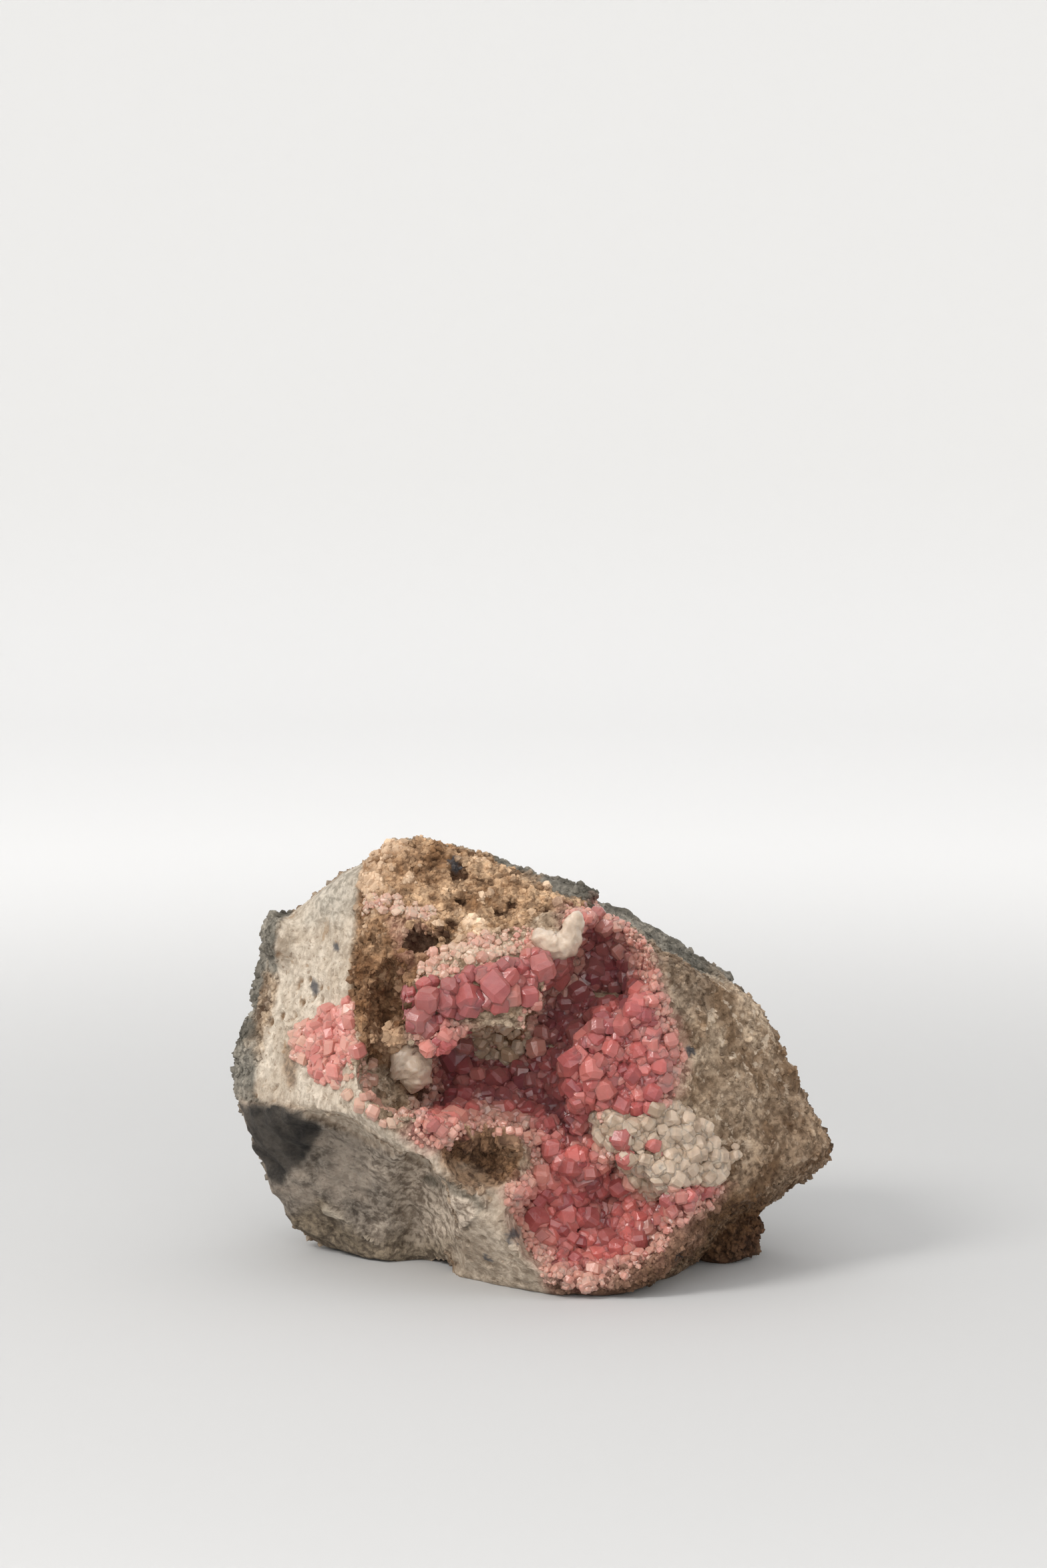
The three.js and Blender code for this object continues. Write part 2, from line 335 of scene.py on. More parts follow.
rockPlan = {
    "core": (0, 1, 32),      # point that every broken face is measured from
    "edgeSharpness": 46,           # higher gives crisper edges between the faces
    "gridAround": 340,
    "gridAlong": 220,
    "voxel": 0.54 * mm,
    "crumbSpan": 12,               # loose bits of the even mesh fewer edges across than this are dropped
    "settle": 0.55,                # how far the skins outside the vug sink before their relief, millimetres
    "rippleCentre": (-30, -30, 26),
    # broken faces: outward normal, then a point on the face
    "faces": {
        "vugFront": ((0.10, -1.00, 0.12), (5, -25, 28)),
        "crustFront": ((0.02, -0.72, 0.70), (-5, -19, 51)),
        "creamSide": ((-0.72, -0.62, 0.30), (-30, -12, 43)),
        "rindUpper": ((-0.976, 0.05, 0.217), (-44.6, 8, 33)),
        "rindLower": ((-0.946, 0.02, -0.324), (-44.4, 4, 25)),
        "topLeft": ((-0.50, 0.10, 0.87), (-30, 3, 56)),
        "top": ((0.08, 0.10, 0.98), (-14, 0, 63.2)),
        "topRight": ((0.44, 0, 0.90), (3, 2, 56.2)),
        "shoulder": ((0.50, 0.10, 0.86), (22, 4, 47.2)),
        "rightUpper": ((0.81, 0.15, 0.59), (33, 4, 37.2)),
        "rightLower": ((0.905, 0.15, 0.426), (40.4, 2, 23.5)),
        "rightFront": ((0.60, -0.78, 0.16), (24, -20, 30)),
        "rightUnder": ((0.62, -0.05, -0.78), (34, -2, 4.8)),
        "frontUnderRight": ((0.62, -0.33, -0.71), (18.5, -16, 0)),
        "lowCorner": ((-0.55, -0.60, -0.58), (-7, -20, 3)),
        "frontUnder": ((-0.05, -0.80, -0.60), (6, -27, 1.5)),
        "bottom": ((0, 0, -1), (0, 0, -0.5)),
        "back": ((0.10, 1.00, 0.05), (0, 27, 30)),
        "backLeft": ((-0.60, 0.75, 0.25), (-30, 18, 38)),
        "backRight": ((0.70, 0.65, -0.10), (30, 16, 20)),
        "backTop": ((0.10, 0.70, 0.70), (0, 20, 50)),
        "backUnder": ((0.05, 0.70, -0.70), (0, 20, 7)),
        "backLeftUnder": ((-0.60, 0.50, -0.62), (-34, 14, 8)),
    },
    # ellipsoids: centre, then radii
    "lumps": {
        "topLeftKnob": ((-38.2, 0, 48.3), (3.4, 6, 4.4)),
        "rightKnob": ((28, -1, 4.8), (6, 6, 5.6)),
        "crestLump": ((3, 2, 54.6), (7, 5, 2.8)),
    },
    "breaks": {
        "leftScoop": ((-38, -29, 2.4), (27.5, 28, 26)),
        "betweenScoop": ((-25.5, -29, 0), (9, 26.8, 23)),
        "middleScoop": ((-18, -29, 0), (8.5, 27, 21.5)),
        "underHollowFront": ((-4, -2, -3), (13, 13, 6)),
        "underHollowBack": ((6, 14, -4), (18, 12, 6.5)),
    },
    "bowls": {
        "upperRight": ((9.3, -19, 45.5), (8, 14, 9)),
        "middle": ((-6, -19, 31), (13.5, 13, 9.3)),
        "link": ((3.5, -16, 38.5), (9, 10, 8)),
        "rightShelf": ((11.5, -27, 33), (9, 6, 11)),
        "lower": ((9, -27, 11.8), (12.5, 11, 9.6)),
        "neck": ((4.5, -27, 21.5), (8, 8.5, 7.5)),
        "leftHollow": ((-19.5, -22, 32), (6, 8, 6.5)),
        "leftCleft": ((-20.5, -20, 41), (4, 5, 7)),
        "brownPit": ((-7.3, -28, 20.3), (5.2, 7, 4)),
        "upperNook": ((-16.5, -17, 50), (3, 4, 2.5)),
    },
    # outlines of the skins as seen from the front: across, up
    "skins": {
        "cream": ((-24.5, 65), (-28.2, 63), (-33.2, 60), (-36.9, 56), (-38.2, 48.5), (-40.2, 40.5),
            (-42.2, 28.6), (-34.7, 27.8), (-29.7, 26.3), (-24.2, 24.2), (-23.5, 29.5), (-25.7, 33.5),
            (-25.9, 39.5), (-27.2, 44.5), (-26.7, 50.5), (-25.7, 56.5)),
        "lowCream": ((-13, 18.6), (-6.7, 17.5), (-2.9, 17), (-1.5, 12.5), (-0.2, 7), (2.3, 3.4), (6.3, 0.5),
            (4, -3), (-2.7, -2), (-12, 3), (-11.9, 7.5), (-9.7, 10.5), (-6.2, 14.5)),
        "grey": ((-46, 28.2), (-39.7, 27.8), (-34.7, 26.8), (-29.7, 24.9), (-24.7, 22.9), (-19.7, 20.9),
            (-12.7, 17.3), (-7.2, 15.4), (-6.5, 13.5), (-10.2, 9.5), (-12.6, 6), (-11.7, -4), (-46, -4),
            (-48, 27)),
        "crust": ((-24.9, 65), (-19.7, 70), (-9.7, 70), (-4.7, 64), (2.3, 60), (8.3, 57.2), (5.3, 55.7),
            (1.3, 56.5), (-1.7, 53.5), (-5.7, 52), (-11.7, 50.6), (-15.2, 47.6), (-18.2, 45), (-19.2, 40.5),
            (-17.9, 36.5), (-17.2, 34), (-20.7, 33), (-23.8, 34), (-25.7, 39), (-27.1, 43.5), (-26.7, 50.5),
            (-25.7, 56.5)),
        "ochre": ((27, 17), (35, 13.5), (33.5, 8.5), (26.5, 4.5), (22, 5), (22.5, 9), (27, 12)),
        "ashy": ((14, 56), (20.3, 54), (26.8, 49.5), (25.8, 41.5), (21, 40), (18, 47)),
        # shade is painted shade: the dark wedge under the ridge on the broken grey face
        "shade": ((-46, 28.2), (-36.7, 27.2), (-31, 25), (-32.6, 21.8), (-34.4, 18.5), (-37.4, 15.6),
            (-46, 17)),
        "rim": ((26.7, 17.6), (29.6, 16.4), (27.6, 12.5), (25.4, 8), (20.5, 4.6), (16.5, 2.2), (14.5, -1),
            (5, -1), (0.5, 2.6), (7.3, 2.4), (11.7, 4.9), (17.3, 6.4), (19.9, 10.1), (21.4, 11.6),
            (26.2, 14.4)),
        "creamTop": ((-33, 59.5), (-29.5, 61.5), (-24.8, 63), (-25, 57), (-29, 54), (-34, 54.5)),
        "stain": ((-37.2, 36.5), (-35.4, 36.8), (-34.6, 33.5), (-35, 30.4), (-36.4, 30.2), (-37.4, 33.5)),
        "nook": ((-21.5, 54.6), (-17.2, 55.4), (-14.4, 52.6), (-15.2, 49.2), (-18.4, 47.6), (-20.2, 50)),
        "lip": ((-37, 11), (-31.7, 12.5), (-24.7, 9), (-16.7, 8), (-12, 8), (-12, -4), (-40, -4)),
    },
    "lipCrease": ((-30.6, 11.6), (-26.2, 9.6), (-22.4, 6.6)),
    "oliveBand": ((-15.4, 17.2), (-11.4, 15.8), (-8.2, 14.2), (-7.4, 12), (-9.4, 9)),
    "ridgeLine": ((-43.7, 28.5), (-34.7, 27.8), (-29.7, 26.1), (-24.2, 24.1), (-19.7, 22.1), (-12.5, 18.6),
        (-7, 16.6)),
    # parts that stand forward of the broken faces (or back, below 0): across, up, radius, millimetres
    "swells": ((10.3, 37, 5, 3), (-7, 26, 5, 3), (6.5, 11.5, 6, 2.4), (2, 30.5, 4.5, 1.6),
        (-7, 46.5, 5.5, 1.8), (-20.2, 36.5, 2.6, 2), (-24, 30, 4, 1), (24, 39.5, 2, 1.6), (29, 30, 4, 1),
        (33, 22, 4, 0.9), (25, 31, 2.5, -1), (-14.5, 29, 3.2, -1.8), (5.8, 23.4, 2.2, -2.2),
        (3.8, 26.4, 3, -2), (11.5, 14, 2.6, -2.2), (27, 12, 4, -1.4), (-20, 13, 9, 0.9), (16, 4, 4, 0.8),
        (-37.2, 7.5, 3.6, 2.4), (-40, 15, 4, 0.7), (-31.5, 3.5, 3.4, 1.2), (-22, 2.8, 3, 0.9),
        (-27, 60, 6, 1), (43, 17, 4.5, 0.8), (-21, 65.5, 3.5, 1), (-10, 65, 5, -0.6), (-42, 51, 4, -0.8),
        (-44, 43, 5, -0.8)),
    # dark gaps between the crystals: across, up, radius
    "gapDepth": 3.4,
    "gaps": ((18.6, 14.6, 1.5), (10.8, 13.4, 1.4), (6.5, 10.1, 1.3), (8.6, 27.4, 1.4), (12.4, 19.6, 1.1),
        (3.6, 26, 1.1), (13.6, 44, 1.2)),
    "darkSpecks": ((-32.7, 45, 0.8), (-11.5, 63.7, 0.9), (-7, 5.3, 0.5), (-3, 9.2, 1), (-29.5, 51, 0.5),
        (23, 35.5, 0.7), (20.8, 6, 0.7)),
    "druse": ((4.8, 56), (9.3, 57), (14.3, 53.5), (17, 48), (19, 41.5), (21.3, 34.5), (20.3, 29.5),
        (18.3, 25.5), (14.3, 24.5), (10.3, 26), (9.2, 25), (10.3, 21.5), (14, 17.5), (17.3, 14.7),
        (20.3, 16.5), (23.8, 17.7), (26.8, 17), (26, 14.2), (21.6, 11.4), (19.9, 9.9), (17.5, 6.6),
        (12.6, 3.9), (7.6, 1.9), (2.3, 3.4), (-0.2, 6.9), (-1.7, 11.2), (-3.4, 15.8), (0.3, 18.7),
        (0.1, 21.8), (-2.7, 24), (-6.7, 24.6), (-11.2, 22.6), (-14.7, 21.8), (-17.7, 23.8), (-16.2, 28),
        (-14.7, 29.5), (-15.7, 33.5), (-16.7, 38), (-13.2, 39.5), (-9.2, 38.5), (-7.5, 36), (-1.5, 35),
        (-0.7, 40), (0.8, 44), (4.8, 45.5), (5.1, 49.5)),
}


def faceDistance(points, face):
    normal, spot = (np.array(value, float) for value in rockPlan["faces"][face])
    return (points - spot) @ (normal / np.linalg.norm(normal))


def ellipsoidReach(points, table, name):
    # 1 on the ellipsoid, under 1 inside it
    centre, radii = (np.array(value, float) for value in rockPlan[table][name])
    return np.linalg.norm((points - centre) / radii, axis=1)


def blockPoints(directions):
    # distance from the core = (sum over faces of (cosine / face distance) ^ sharpness) ^ (-1 / sharpness)
    core = np.array(rockPlan["core"])
    total = np.zeros(len(directions))
    for normal, spot in rockPlan["faces"].values():
        outward = np.array(normal, float) / np.linalg.norm(normal)
        depth = (np.array(spot, float) - core) @ outward
        total += (np.maximum(directions @ outward, 0) / depth) ** rockPlan["edgeSharpness"]
    reach = total ** (-1.0 / rockPlan["edgeSharpness"])
    return core + directions * reach[:, None]


def blockShift():
    # the block's own numbers are moved so that its box has the CAD rock's middle
    points = blockPoints(directionGrid(180, 120)[0])
    low, high = (np.array(corner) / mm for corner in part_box("host_rock"))
    middle = (low + high) / 2 - (points.min(axis=0) + points.max(axis=0)) / 2
    return np.array([middle[0], middle[1], 0.0])


shift = blockShift()


def toFrame(points):
    return (np.asarray(points, float) + shift) * mm


def fromFrame(points):
    return np.asarray(points, float) / mm - shift


def buildRockForm():
    directions, quads, caps = directionGrid(rockPlan["gridAround"], rockPlan["gridAlong"])
    points = blockPoints(directions)
    swell = 0.9 * fractalNoise(points, 14.0, 3, 5) + 0.35 * fractalNoise(points, 4.0, 2, 9)
    points = points + directions * swell[:, None]
    made = meshObject("hostRock", toFrame(points), quads, caps)
    cutters = []
    for table, operation in (("lumps", "UNION"), ("breaks", "DIFFERENCE"), ("bowls", "DIFFERENCE")):
        for name, (centre, radii) in rockPlan[table].items():
            ball, ballQuads, ballCaps = directionGrid(64, 40)
            wave = 1 + 0.05 * fractalNoise(ball * 3.0 + centre[0], 1.0, 2, 15)
            place = toFrame(ball * np.array(radii) * wave[:, None] + np.array(centre))
            cutter = meshObject("cutter_" + name, place, ballQuads, ballCaps)
            step = made.modifiers.new(name, "BOOLEAN")
            step.operation = operation
            step.solver = "MANIFOLD"
            step.object = cutter
            cutters.append(cutter)
    applyModifiers(made)
    for cutter in cutters:
        bpy.data.objects.remove(cutter)
    remesh = made.modifiers.new("even", "REMESH")
    remesh.mode = "VOXEL"
    remesh.voxel_size = rockPlan["voxel"]
    soften = made.modifiers.new("soften", "SMOOTH")
    soften.factor = 0.5
    soften.iterations = 3
    applyModifiers(made)
    return made


def rockZones(points, normals):
    # how much of each skin the rock shows at each point, 0 to 1
    x, y, z = points.T
    spots = seenFromFront(points)
    wobble = fractalNoise(points, 7.0, 4, 40)
    fine = fractalNoise(points, 2.2, 2, 50)
    front = smoothStep(-0.1, 0.2, facesFront(normals)) * smoothStep(14, 6, y)

    def skin(name, soft=0.5, stray=1.6):
        edge = outlineDistance(spots, rockPlan["skins"][name]) + stray * wobble + 0.5 * fine
        return smoothStep(soft, -soft, edge) * front

    def nearLine(name, width):
        gap = lineDistance(spots, rockPlan[name]) + 1.2 * wobble
        return smoothStep(1.3 * width, 0.6 * width, gap) * front

    def nearBall(table, name, far, near, rough):
        return smoothStep(far, near, ellipsoidReach(points, table, name) + rough * fine)

    def outOf(*names):
        return np.maximum.reduce([faceDistance(points, name) for name in names])

    scoop = np.minimum.reduce([ellipsoidReach(points, "breaks", name)
                               for name in ("leftScoop", "betweenScoop", "middleScoop")])
    grey = np.maximum(skin("grey", 0.3, 0.3), smoothStep(1.0, 0.985, scoop) * (x < -11))
    notGrey = 1 - grey
    ridge = smoothStep(2.2, 1.4, lineDistance(spots, rockPlan["ridgeLine"]) + 0.6 * wobble) * front
    ridge *= notGrey * smoothStep(-20, 6, x + 30)
    cream = np.maximum.reduce([skin("cream", 0.5, 1.0), skin("lowCream"), 0.85 * ridge]) * notGrey
    # the dark rind: along both ends, on the plate behind the crest, on the back and on the left knob
    rindEdge = -39.6 + 0.42 * np.clip(spots[:, 1] - 43, 0, 12)
    leftRind = smoothStep(1.0, -1.0, x - rindEdge + 2.0 * wobble + 0.35 * (y + 8)) * notGrey
    leftFace = smoothStep(-1.4, -0.5, outOf("rindUpper", "rindLower")) * notGrey
    leftFace *= smoothStep(-12, -4, y + 3 * wobble)
    rightRind = smoothStep(-1.2, -0.5, outOf("rightLower", "rightUpper")) * smoothStep(-7, 2, y + 3 * wobble)
    plate = smoothStep(-1.6, -0.8, outOf("top", "topRight", "shoulder"))
    plate *= smoothStep(-11, -7, y + 2 * wobble) * (1 - smoothStep(24, 32, x))
    back = smoothStep(8, 16, y + 4 * wobble)
    knob = nearBall("lumps", "rightKnob", 1.25, 1.08, 0.1)
    leftKnob = nearBall("lumps", "topLeftKnob", 1.3, 1.1, 0.1)
    rind = np.maximum.reduce([leftRind, leftFace, rightRind, plate, 0.85 * back, leftKnob]) * (1 - knob)
    crust = skin("crust", 0.5, 1.2)
    for name, far in (("brownPit", 1.16), ("leftCleft", 1.2), ("upperNook", 1.3)):
        crust = np.maximum(crust, nearBall("bowls", name, far + 0.1, far - 0.04, 0.05))
    deepWall = smoothStep(-17, -13, y) * smoothStep(1.15, 1.05, vugReach(points)) * (x < 1) * (z < 42)
    crust = np.maximum.reduce([crust * (1 - 0.9 * cream), knob, deepWall])
    druse = outlineDistance(spots, rockPlan["druse"])
    nearFront = 1 - smoothStep(0.5, 0.7, normals[:, 2]) * smoothStep(-13, -9, y + 2 * wobble)
    blush = smoothStep(2.6, 0.3, druse + 1.2 * wobble + fine) * front * notGrey * nearFront
    # painted shade in a brown tone: low in the crust, on its right part, and over the lower right of the
    # front
    umberShade = crust * smoothStep(53, 45, spots[:, 1] + 5 * wobble)
    umberShade += 0.4 * crust * smoothStep(-10, -22, x + 4 * wobble)
    umberShade += 0.75 * smoothStep(0, 26, x + 1.1 * (26 - z) + 9 * wobble - 22) * (1 - crust)
    dark = np.zeros(len(points))
    speckle = 1.2 * fractalNoise(points, 0.9, 2, 60)
    for across, up, size in rockPlan["darkSpecks"]:
        gap = np.hypot(spots[:, 0] - across, (spots[:, 1] - up) * 0.8) + speckle
        dark = np.maximum(dark, 0.9 * smoothStep(size, 0.6 * size, gap) * front)
    return {
        "cream": cream, "grey": grey, "rind": rind, "crust": crust, "knob": knob, "dark": dark, "pale": ridge,
        "ochre": np.maximum(skin("ochre", 1.2), 0.9 * skin("stain", 0.7, 0.8)),
        "ashy": np.maximum(skin("ashy", 1.5) * (1 - crust), skin("creamTop", 2.0)),
        # a warm tan on the right part of the broken grey face, partly painted light where the hollow is lit
        "shade": skin("shade", 0.7, 1.6) * grey, "warmLit": smoothStep(-27, -13, x + 4 * wobble) * grey,
        "lip": skin("lip", 1.5, 2.5) * grey, "umberShade": np.clip(umberShade, 0, 1),
        "blush": np.maximum(blush, 0.8 * skin("nook", 1.0)),
        "olive": nearLine("oliveBand", 0.8) * grey, "crease": nearLine("lipCrease", 0.5) * grey,
        "rim": skin("rim", 0.7, 1.0) * notGrey, "hollow": nearBall("bowls", "brownPit", 1.10, 0.98, 0.10),
        "lowCream": 0.7 * skin("lowCream", 1.5),
        "druse": smoothStep(0.8, -0.8, druse) * front * nearFront,
    }


def vugReach(points):
    # 1 on the wall of the crystal-lined bowls, over 1 outside them
    lined = ("upperRight", "middle", "link", "rightShelf", "lower", "neck")
    return np.minimum.reduce([ellipsoidReach(points, "bowls", name) for name in lined])


def coarsePush(points, zones):
    # millimetres out of the rock: broad swells, ridges and ripples, each in its own skin
    def noise(size, octaves, seed):
        return fractalNoise(points, size, octaves, seed)

    spots = seenFromFront(points)
    plain = np.clip(1 - zones["grey"] - zones["cream"] - zones["crust"], 0, 1)
    push = -rockPlan["settle"] * (1 - zones["grey"]) * (vugReach(points) > 1.1)
    push += plain * (0.8 * noise(8.0, 3, 70) + 0.6 * noise(3.4, 2, 75))
    push += zones["crust"] * (1.5 * (ridgeNoise(points, 5.2, 3, 80) - 0.66) + 0.9 * noise(3.0, 2, 85))
    push += zones["knob"] * 1.2 * noise(2.8, 2, 88)
    push += zones["cream"] * (0.5 * noise(8.0, 3, 90) + 0.2 * noise(2.5, 2, 92))
    fromCentre = np.linalg.norm(points - rockPlan["rippleCentre"], axis=1)
    ripples = np.sin(fromCentre * 1.5 + 2.5 * noise(9.0, 2, 94))
    push += zones["grey"] * (1.7 * (ridgeNoise(points, 11.0, 2, 96) - 0.6) + 0.14 * ripples
                             + 0.55 * noise(4.0, 4, 97))
    push += 0.5 * zones["crease"] - 0.3 * zones["olive"]
    push += zones["rim"] * (1.0 * (ridgeNoise(points, 4.0, 3, 82) - 0.5) + 0.5 * noise(2.4, 2, 84))
    push += zones["rind"] * 0.9 * noise(4.5, 3, 98)
    push += 1.6 * smoothStep(12, 20, points[:, 1]) * noise(13.0, 2, 103)
    push += zones["druse"] * (1.5 * noise(6.0, 2, 99) + 0.5 * noise(3.0, 1, 101))
    for across, up, radius, height in rockPlan["swells"]:
        swell = np.exp(-(awayFrom(spots, across, up) / radius) ** 2)
        push += height * swell * smoothStep(14, 8, points[:, 1])
    for across, up, radius in rockPlan["gaps"]:
        push -= rockPlan["gapDepth"] * np.exp(-(awayFrom(spots, across, up) / radius) ** 2) * zones["druse"]
    return push


def finePush(points, zones):
    # millimetres out of the rock: pits in the cream face, holes in the crust and grit everywhere
    def noise(size, octaves, seed):
        return fractalNoise(points, size, octaves, seed)

    pits = smoothStep(0.42, 0.16, pitNoise(points, 2.1, 100)) * smoothStep(-0.1, 0.25, noise(7, 2, 110))
    push = zones["cream"] * (0.16 * noise(1.5, 2, 115) - 0.65 * pits)
    push += zones["crust"] * 0.75 * noise(1.7, 2, 120)
    push += np.clip(1 - zones["cream"] - zones["grey"], 0, 1) * 0.62 * noise(1.8, 2, 130)
    holes = smoothStep(0.42, 0.2, pitNoise(points, 3.4, 140)) * smoothStep(-0.1, 0.2, noise(9, 2, 145))
    push -= zones["crust"] * holes
    push += zones["grey"] * (0.28 * noise(2.0, 3, 150) + 0.22 * (ridgeNoise(points, 2.6, 3, 155) - 0.6))
    return push + 0.35 * zones["rim"] * noise(1.5, 2, 125)


def roughenRock(made):
    points = fromFrame(meshPoints(made))
    zones = rockZones(points, meshNormals(made))
    # the broken hollows run into each other softly, away from the ridge above them
    clear = smoothStep(1.0, 3.0, lineDistance(seenFromFront(points), rockPlan["ridgeLine"]))
    clear *= smoothStep(-37, -32, points[:, 0])
    soft = np.round(zones["grey"] * clear * 10) / 10
    vertexGroup = made.vertex_groups.new(name="hollows")
    for share in np.unique(soft[soft > 0]):
        vertexGroup.add(np.flatnonzero(soft == share).tolist(), float(share), "REPLACE")
    blend = made.modifiers.new("blend", "SMOOTH")
    blend.factor = 0.5
    blend.iterations = 80
    blend.vertex_group = "hollows"
    applyModifiers(made)
    # the even settling is not relief
    raised = rockPlan["settle"] * (1 - zones["grey"]) * (vugReach(points) > 1.1)
    for pushFrom in (coarsePush, finePush):
        points = fromFrame(meshPoints(made))
        push = pushFrom(points, zones) * smoothStep(0.0, 1.2, points[:, 2])
        moved = points + meshNormals(made) * push[:, None]
        moved[:, 2] = np.maximum(moved[:, 2], 0.0)
        movePoints(made, toFrame(moved))
        raised += push
    zones["raised"] = np.clip(0.5 + 0.33 * raised, 0, 1)
    zones["tone"] = np.full(len(points), 0.5)
    paint(made, zones)
    return zones


rockMasks = {
    # clouds: size, detail, then the noise values where the mask starts and where it is full
    "grain": (0.0011, 4.0, 0.36, 0.64), "patches": (0.006, 4.0, 0.36, 0.64),
    "broad": (0.016, 3.0, 0.38, 0.62), "bright": (0.0016, 3.0, 0.56, 0.66),
    "spots": (0.0022, 2.0, 0.65, 0.73), "freckles": (0.0007, 2.0, 0.60, 0.68),
    # streaks: turn, width, then the same two
    "creamStreaks": ((0.25, 0.42, 0), 0.0009, 0.36, 0.60), "ridgeStreaks": ((0, 1.95, 0), 0.0007, 0.40, 0.60),
    "scoopStreaks": ((0.3, 1.15, 0.4), 0.0016, 0.52, 0.74),
    # relief: the heights where the mask starts and where it is full
    "sunk": (0.44, 0.18), "creamSunk": (0.40, 0.26), "crustSunk": (0.48, 0.20), "crustHigh": (0.70, 0.98),
}
# each tone starts as a mask between two colours, and each layer over it has a mask, a share and a tone:
# "gaps" lies between the grains, and a name without a mask of its own is one of the rock's skins
rockTones = {
    "tan": (("patches", (0.24, 0.15, 0.085), (0.66, 0.52, 0.38)),
            ("broad", 0.5, (0.36, 0.275, 0.195)), ("gaps", 0.72, (0.10, 0.062, 0.036)),
            ("bright", 0.55, (0.74, 0.62, 0.49)),
            ("ashy", 0.7, ("grain", (0.085, 0.056, 0.037), (0.28, 0.21, 0.15)))),
    "creamFace": (("patches", (0.52, 0.43, 0.335), (0.72, 0.63, 0.52)),
                  ("gaps", 0.55, (0.22, 0.165, 0.115)), ("creamStreaks", 0.28, (0.36, 0.31, 0.25)),
                  ("spots", 0.65, (0.30, 0.195, 0.11)), ("creamSunk", 1, (0.27, 0.18, 0.11)),
                  ("freckles", 0.6, (0.20, 0.135, 0.085)),
                  ("ashy", 0.6, ("grain", (0.22, 0.21, 0.175), (0.55, 0.50, 0.43))),
                  ("pale", 0.45, ("ridgeStreaks", (0.24, 0.195, 0.15), (0.66, 0.57, 0.47))),
                  ("lowCream", 1, "lowFace")),
    "lowFace": (("patches", (0.36, 0.285, 0.215), (0.62, 0.51, 0.40)), ("gaps", 0.6, (0.16, 0.11, 0.07))),
    "greyBreak": (("patches", (0.075, 0.060, 0.048), (0.27, 0.22, 0.175)),
                  ("grain", 0.55, (0.38, 0.325, 0.265)), ("freckles", 0.4, (0.045, 0.036, 0.028)),
                  ("scoopStreaks", 0.35, (0.42, 0.37, 0.31)),
                  # lighter warm tan, partly painted light on the lit right part of the broken grey face
                  ("warmLit", 0.75, ("grain", (0.25, 0.19, 0.14), (0.80, 0.67, 0.54))),
                  ("olive", 0.6, (0.075, 0.070, 0.050)),
                  ("lip", 0.7, ("grain", (0.060, 0.042, 0.026), (0.23, 0.175, 0.11))),
                  ("crease", 0.6, (0.52, 0.45, 0.36)),
                  ("shade", 0.92, ("patches", (0.010, 0.010, 0.010), (0.062, 0.054, 0.046)))),
    "rindSkin": (("patches", (0.115, 0.105, 0.085), (0.33, 0.30, 0.25)),
                 ("gaps", 0.6, (0.045, 0.042, 0.035))),
    "crustSkin": (("patches", (0.31, 0.17, 0.083), (0.74, 0.51, 0.32)), ("gaps", 0.65, (0.09, 0.047, 0.025)),
                  ("crustHigh", 1, (0.76, 0.57, 0.405)), ("crustSunk", 1, (0.07, 0.033, 0.016)),
                  ("knob", 0.75, ("grain", (0.02, 0.01, 0.007), (0.16, 0.09, 0.06)))),
    "rimSkin": (("patches", (0.17, 0.095, 0.055), (0.44, 0.28, 0.20)), ("gaps", 0.6, (0.08, 0.042, 0.026))),
    "rock": ("tan",
             ("sunk", 1, (0.09, 0.052, 0.030)), ("rind", 1, "rindSkin"), ("cream", 1, "creamFace"),
             ("crust", 1, "crustSkin"), ("grey", 1, "greyBreak"),
             ("ochre", 0.75, ("grain", (0.085, 0.045, 0.022), (0.28, 0.165, 0.085))), ("rim", 1, "rimSkin"),
             ("blush", 0.6, ("grain", (0.26, 0.11, 0.09), (0.56, 0.36, 0.29))),
             # painted shade: the rock under the crystals is a dark pink, so the crevices between them read as
             # shade
             ("druse", 0.9, ("grain", (0.10, 0.022, 0.025), (0.30, 0.085, 0.08))),
             ("hollow", 0.9, ("grain", (0.075, 0.040, 0.023), (0.42, 0.27, 0.165))),
             ("dark", 1, (0.075, 0.074, 0.080))),
    # brown multiplied into the colour for painted shade
    "umberShadeTint": (0.52, 0.43, 0.36),
}


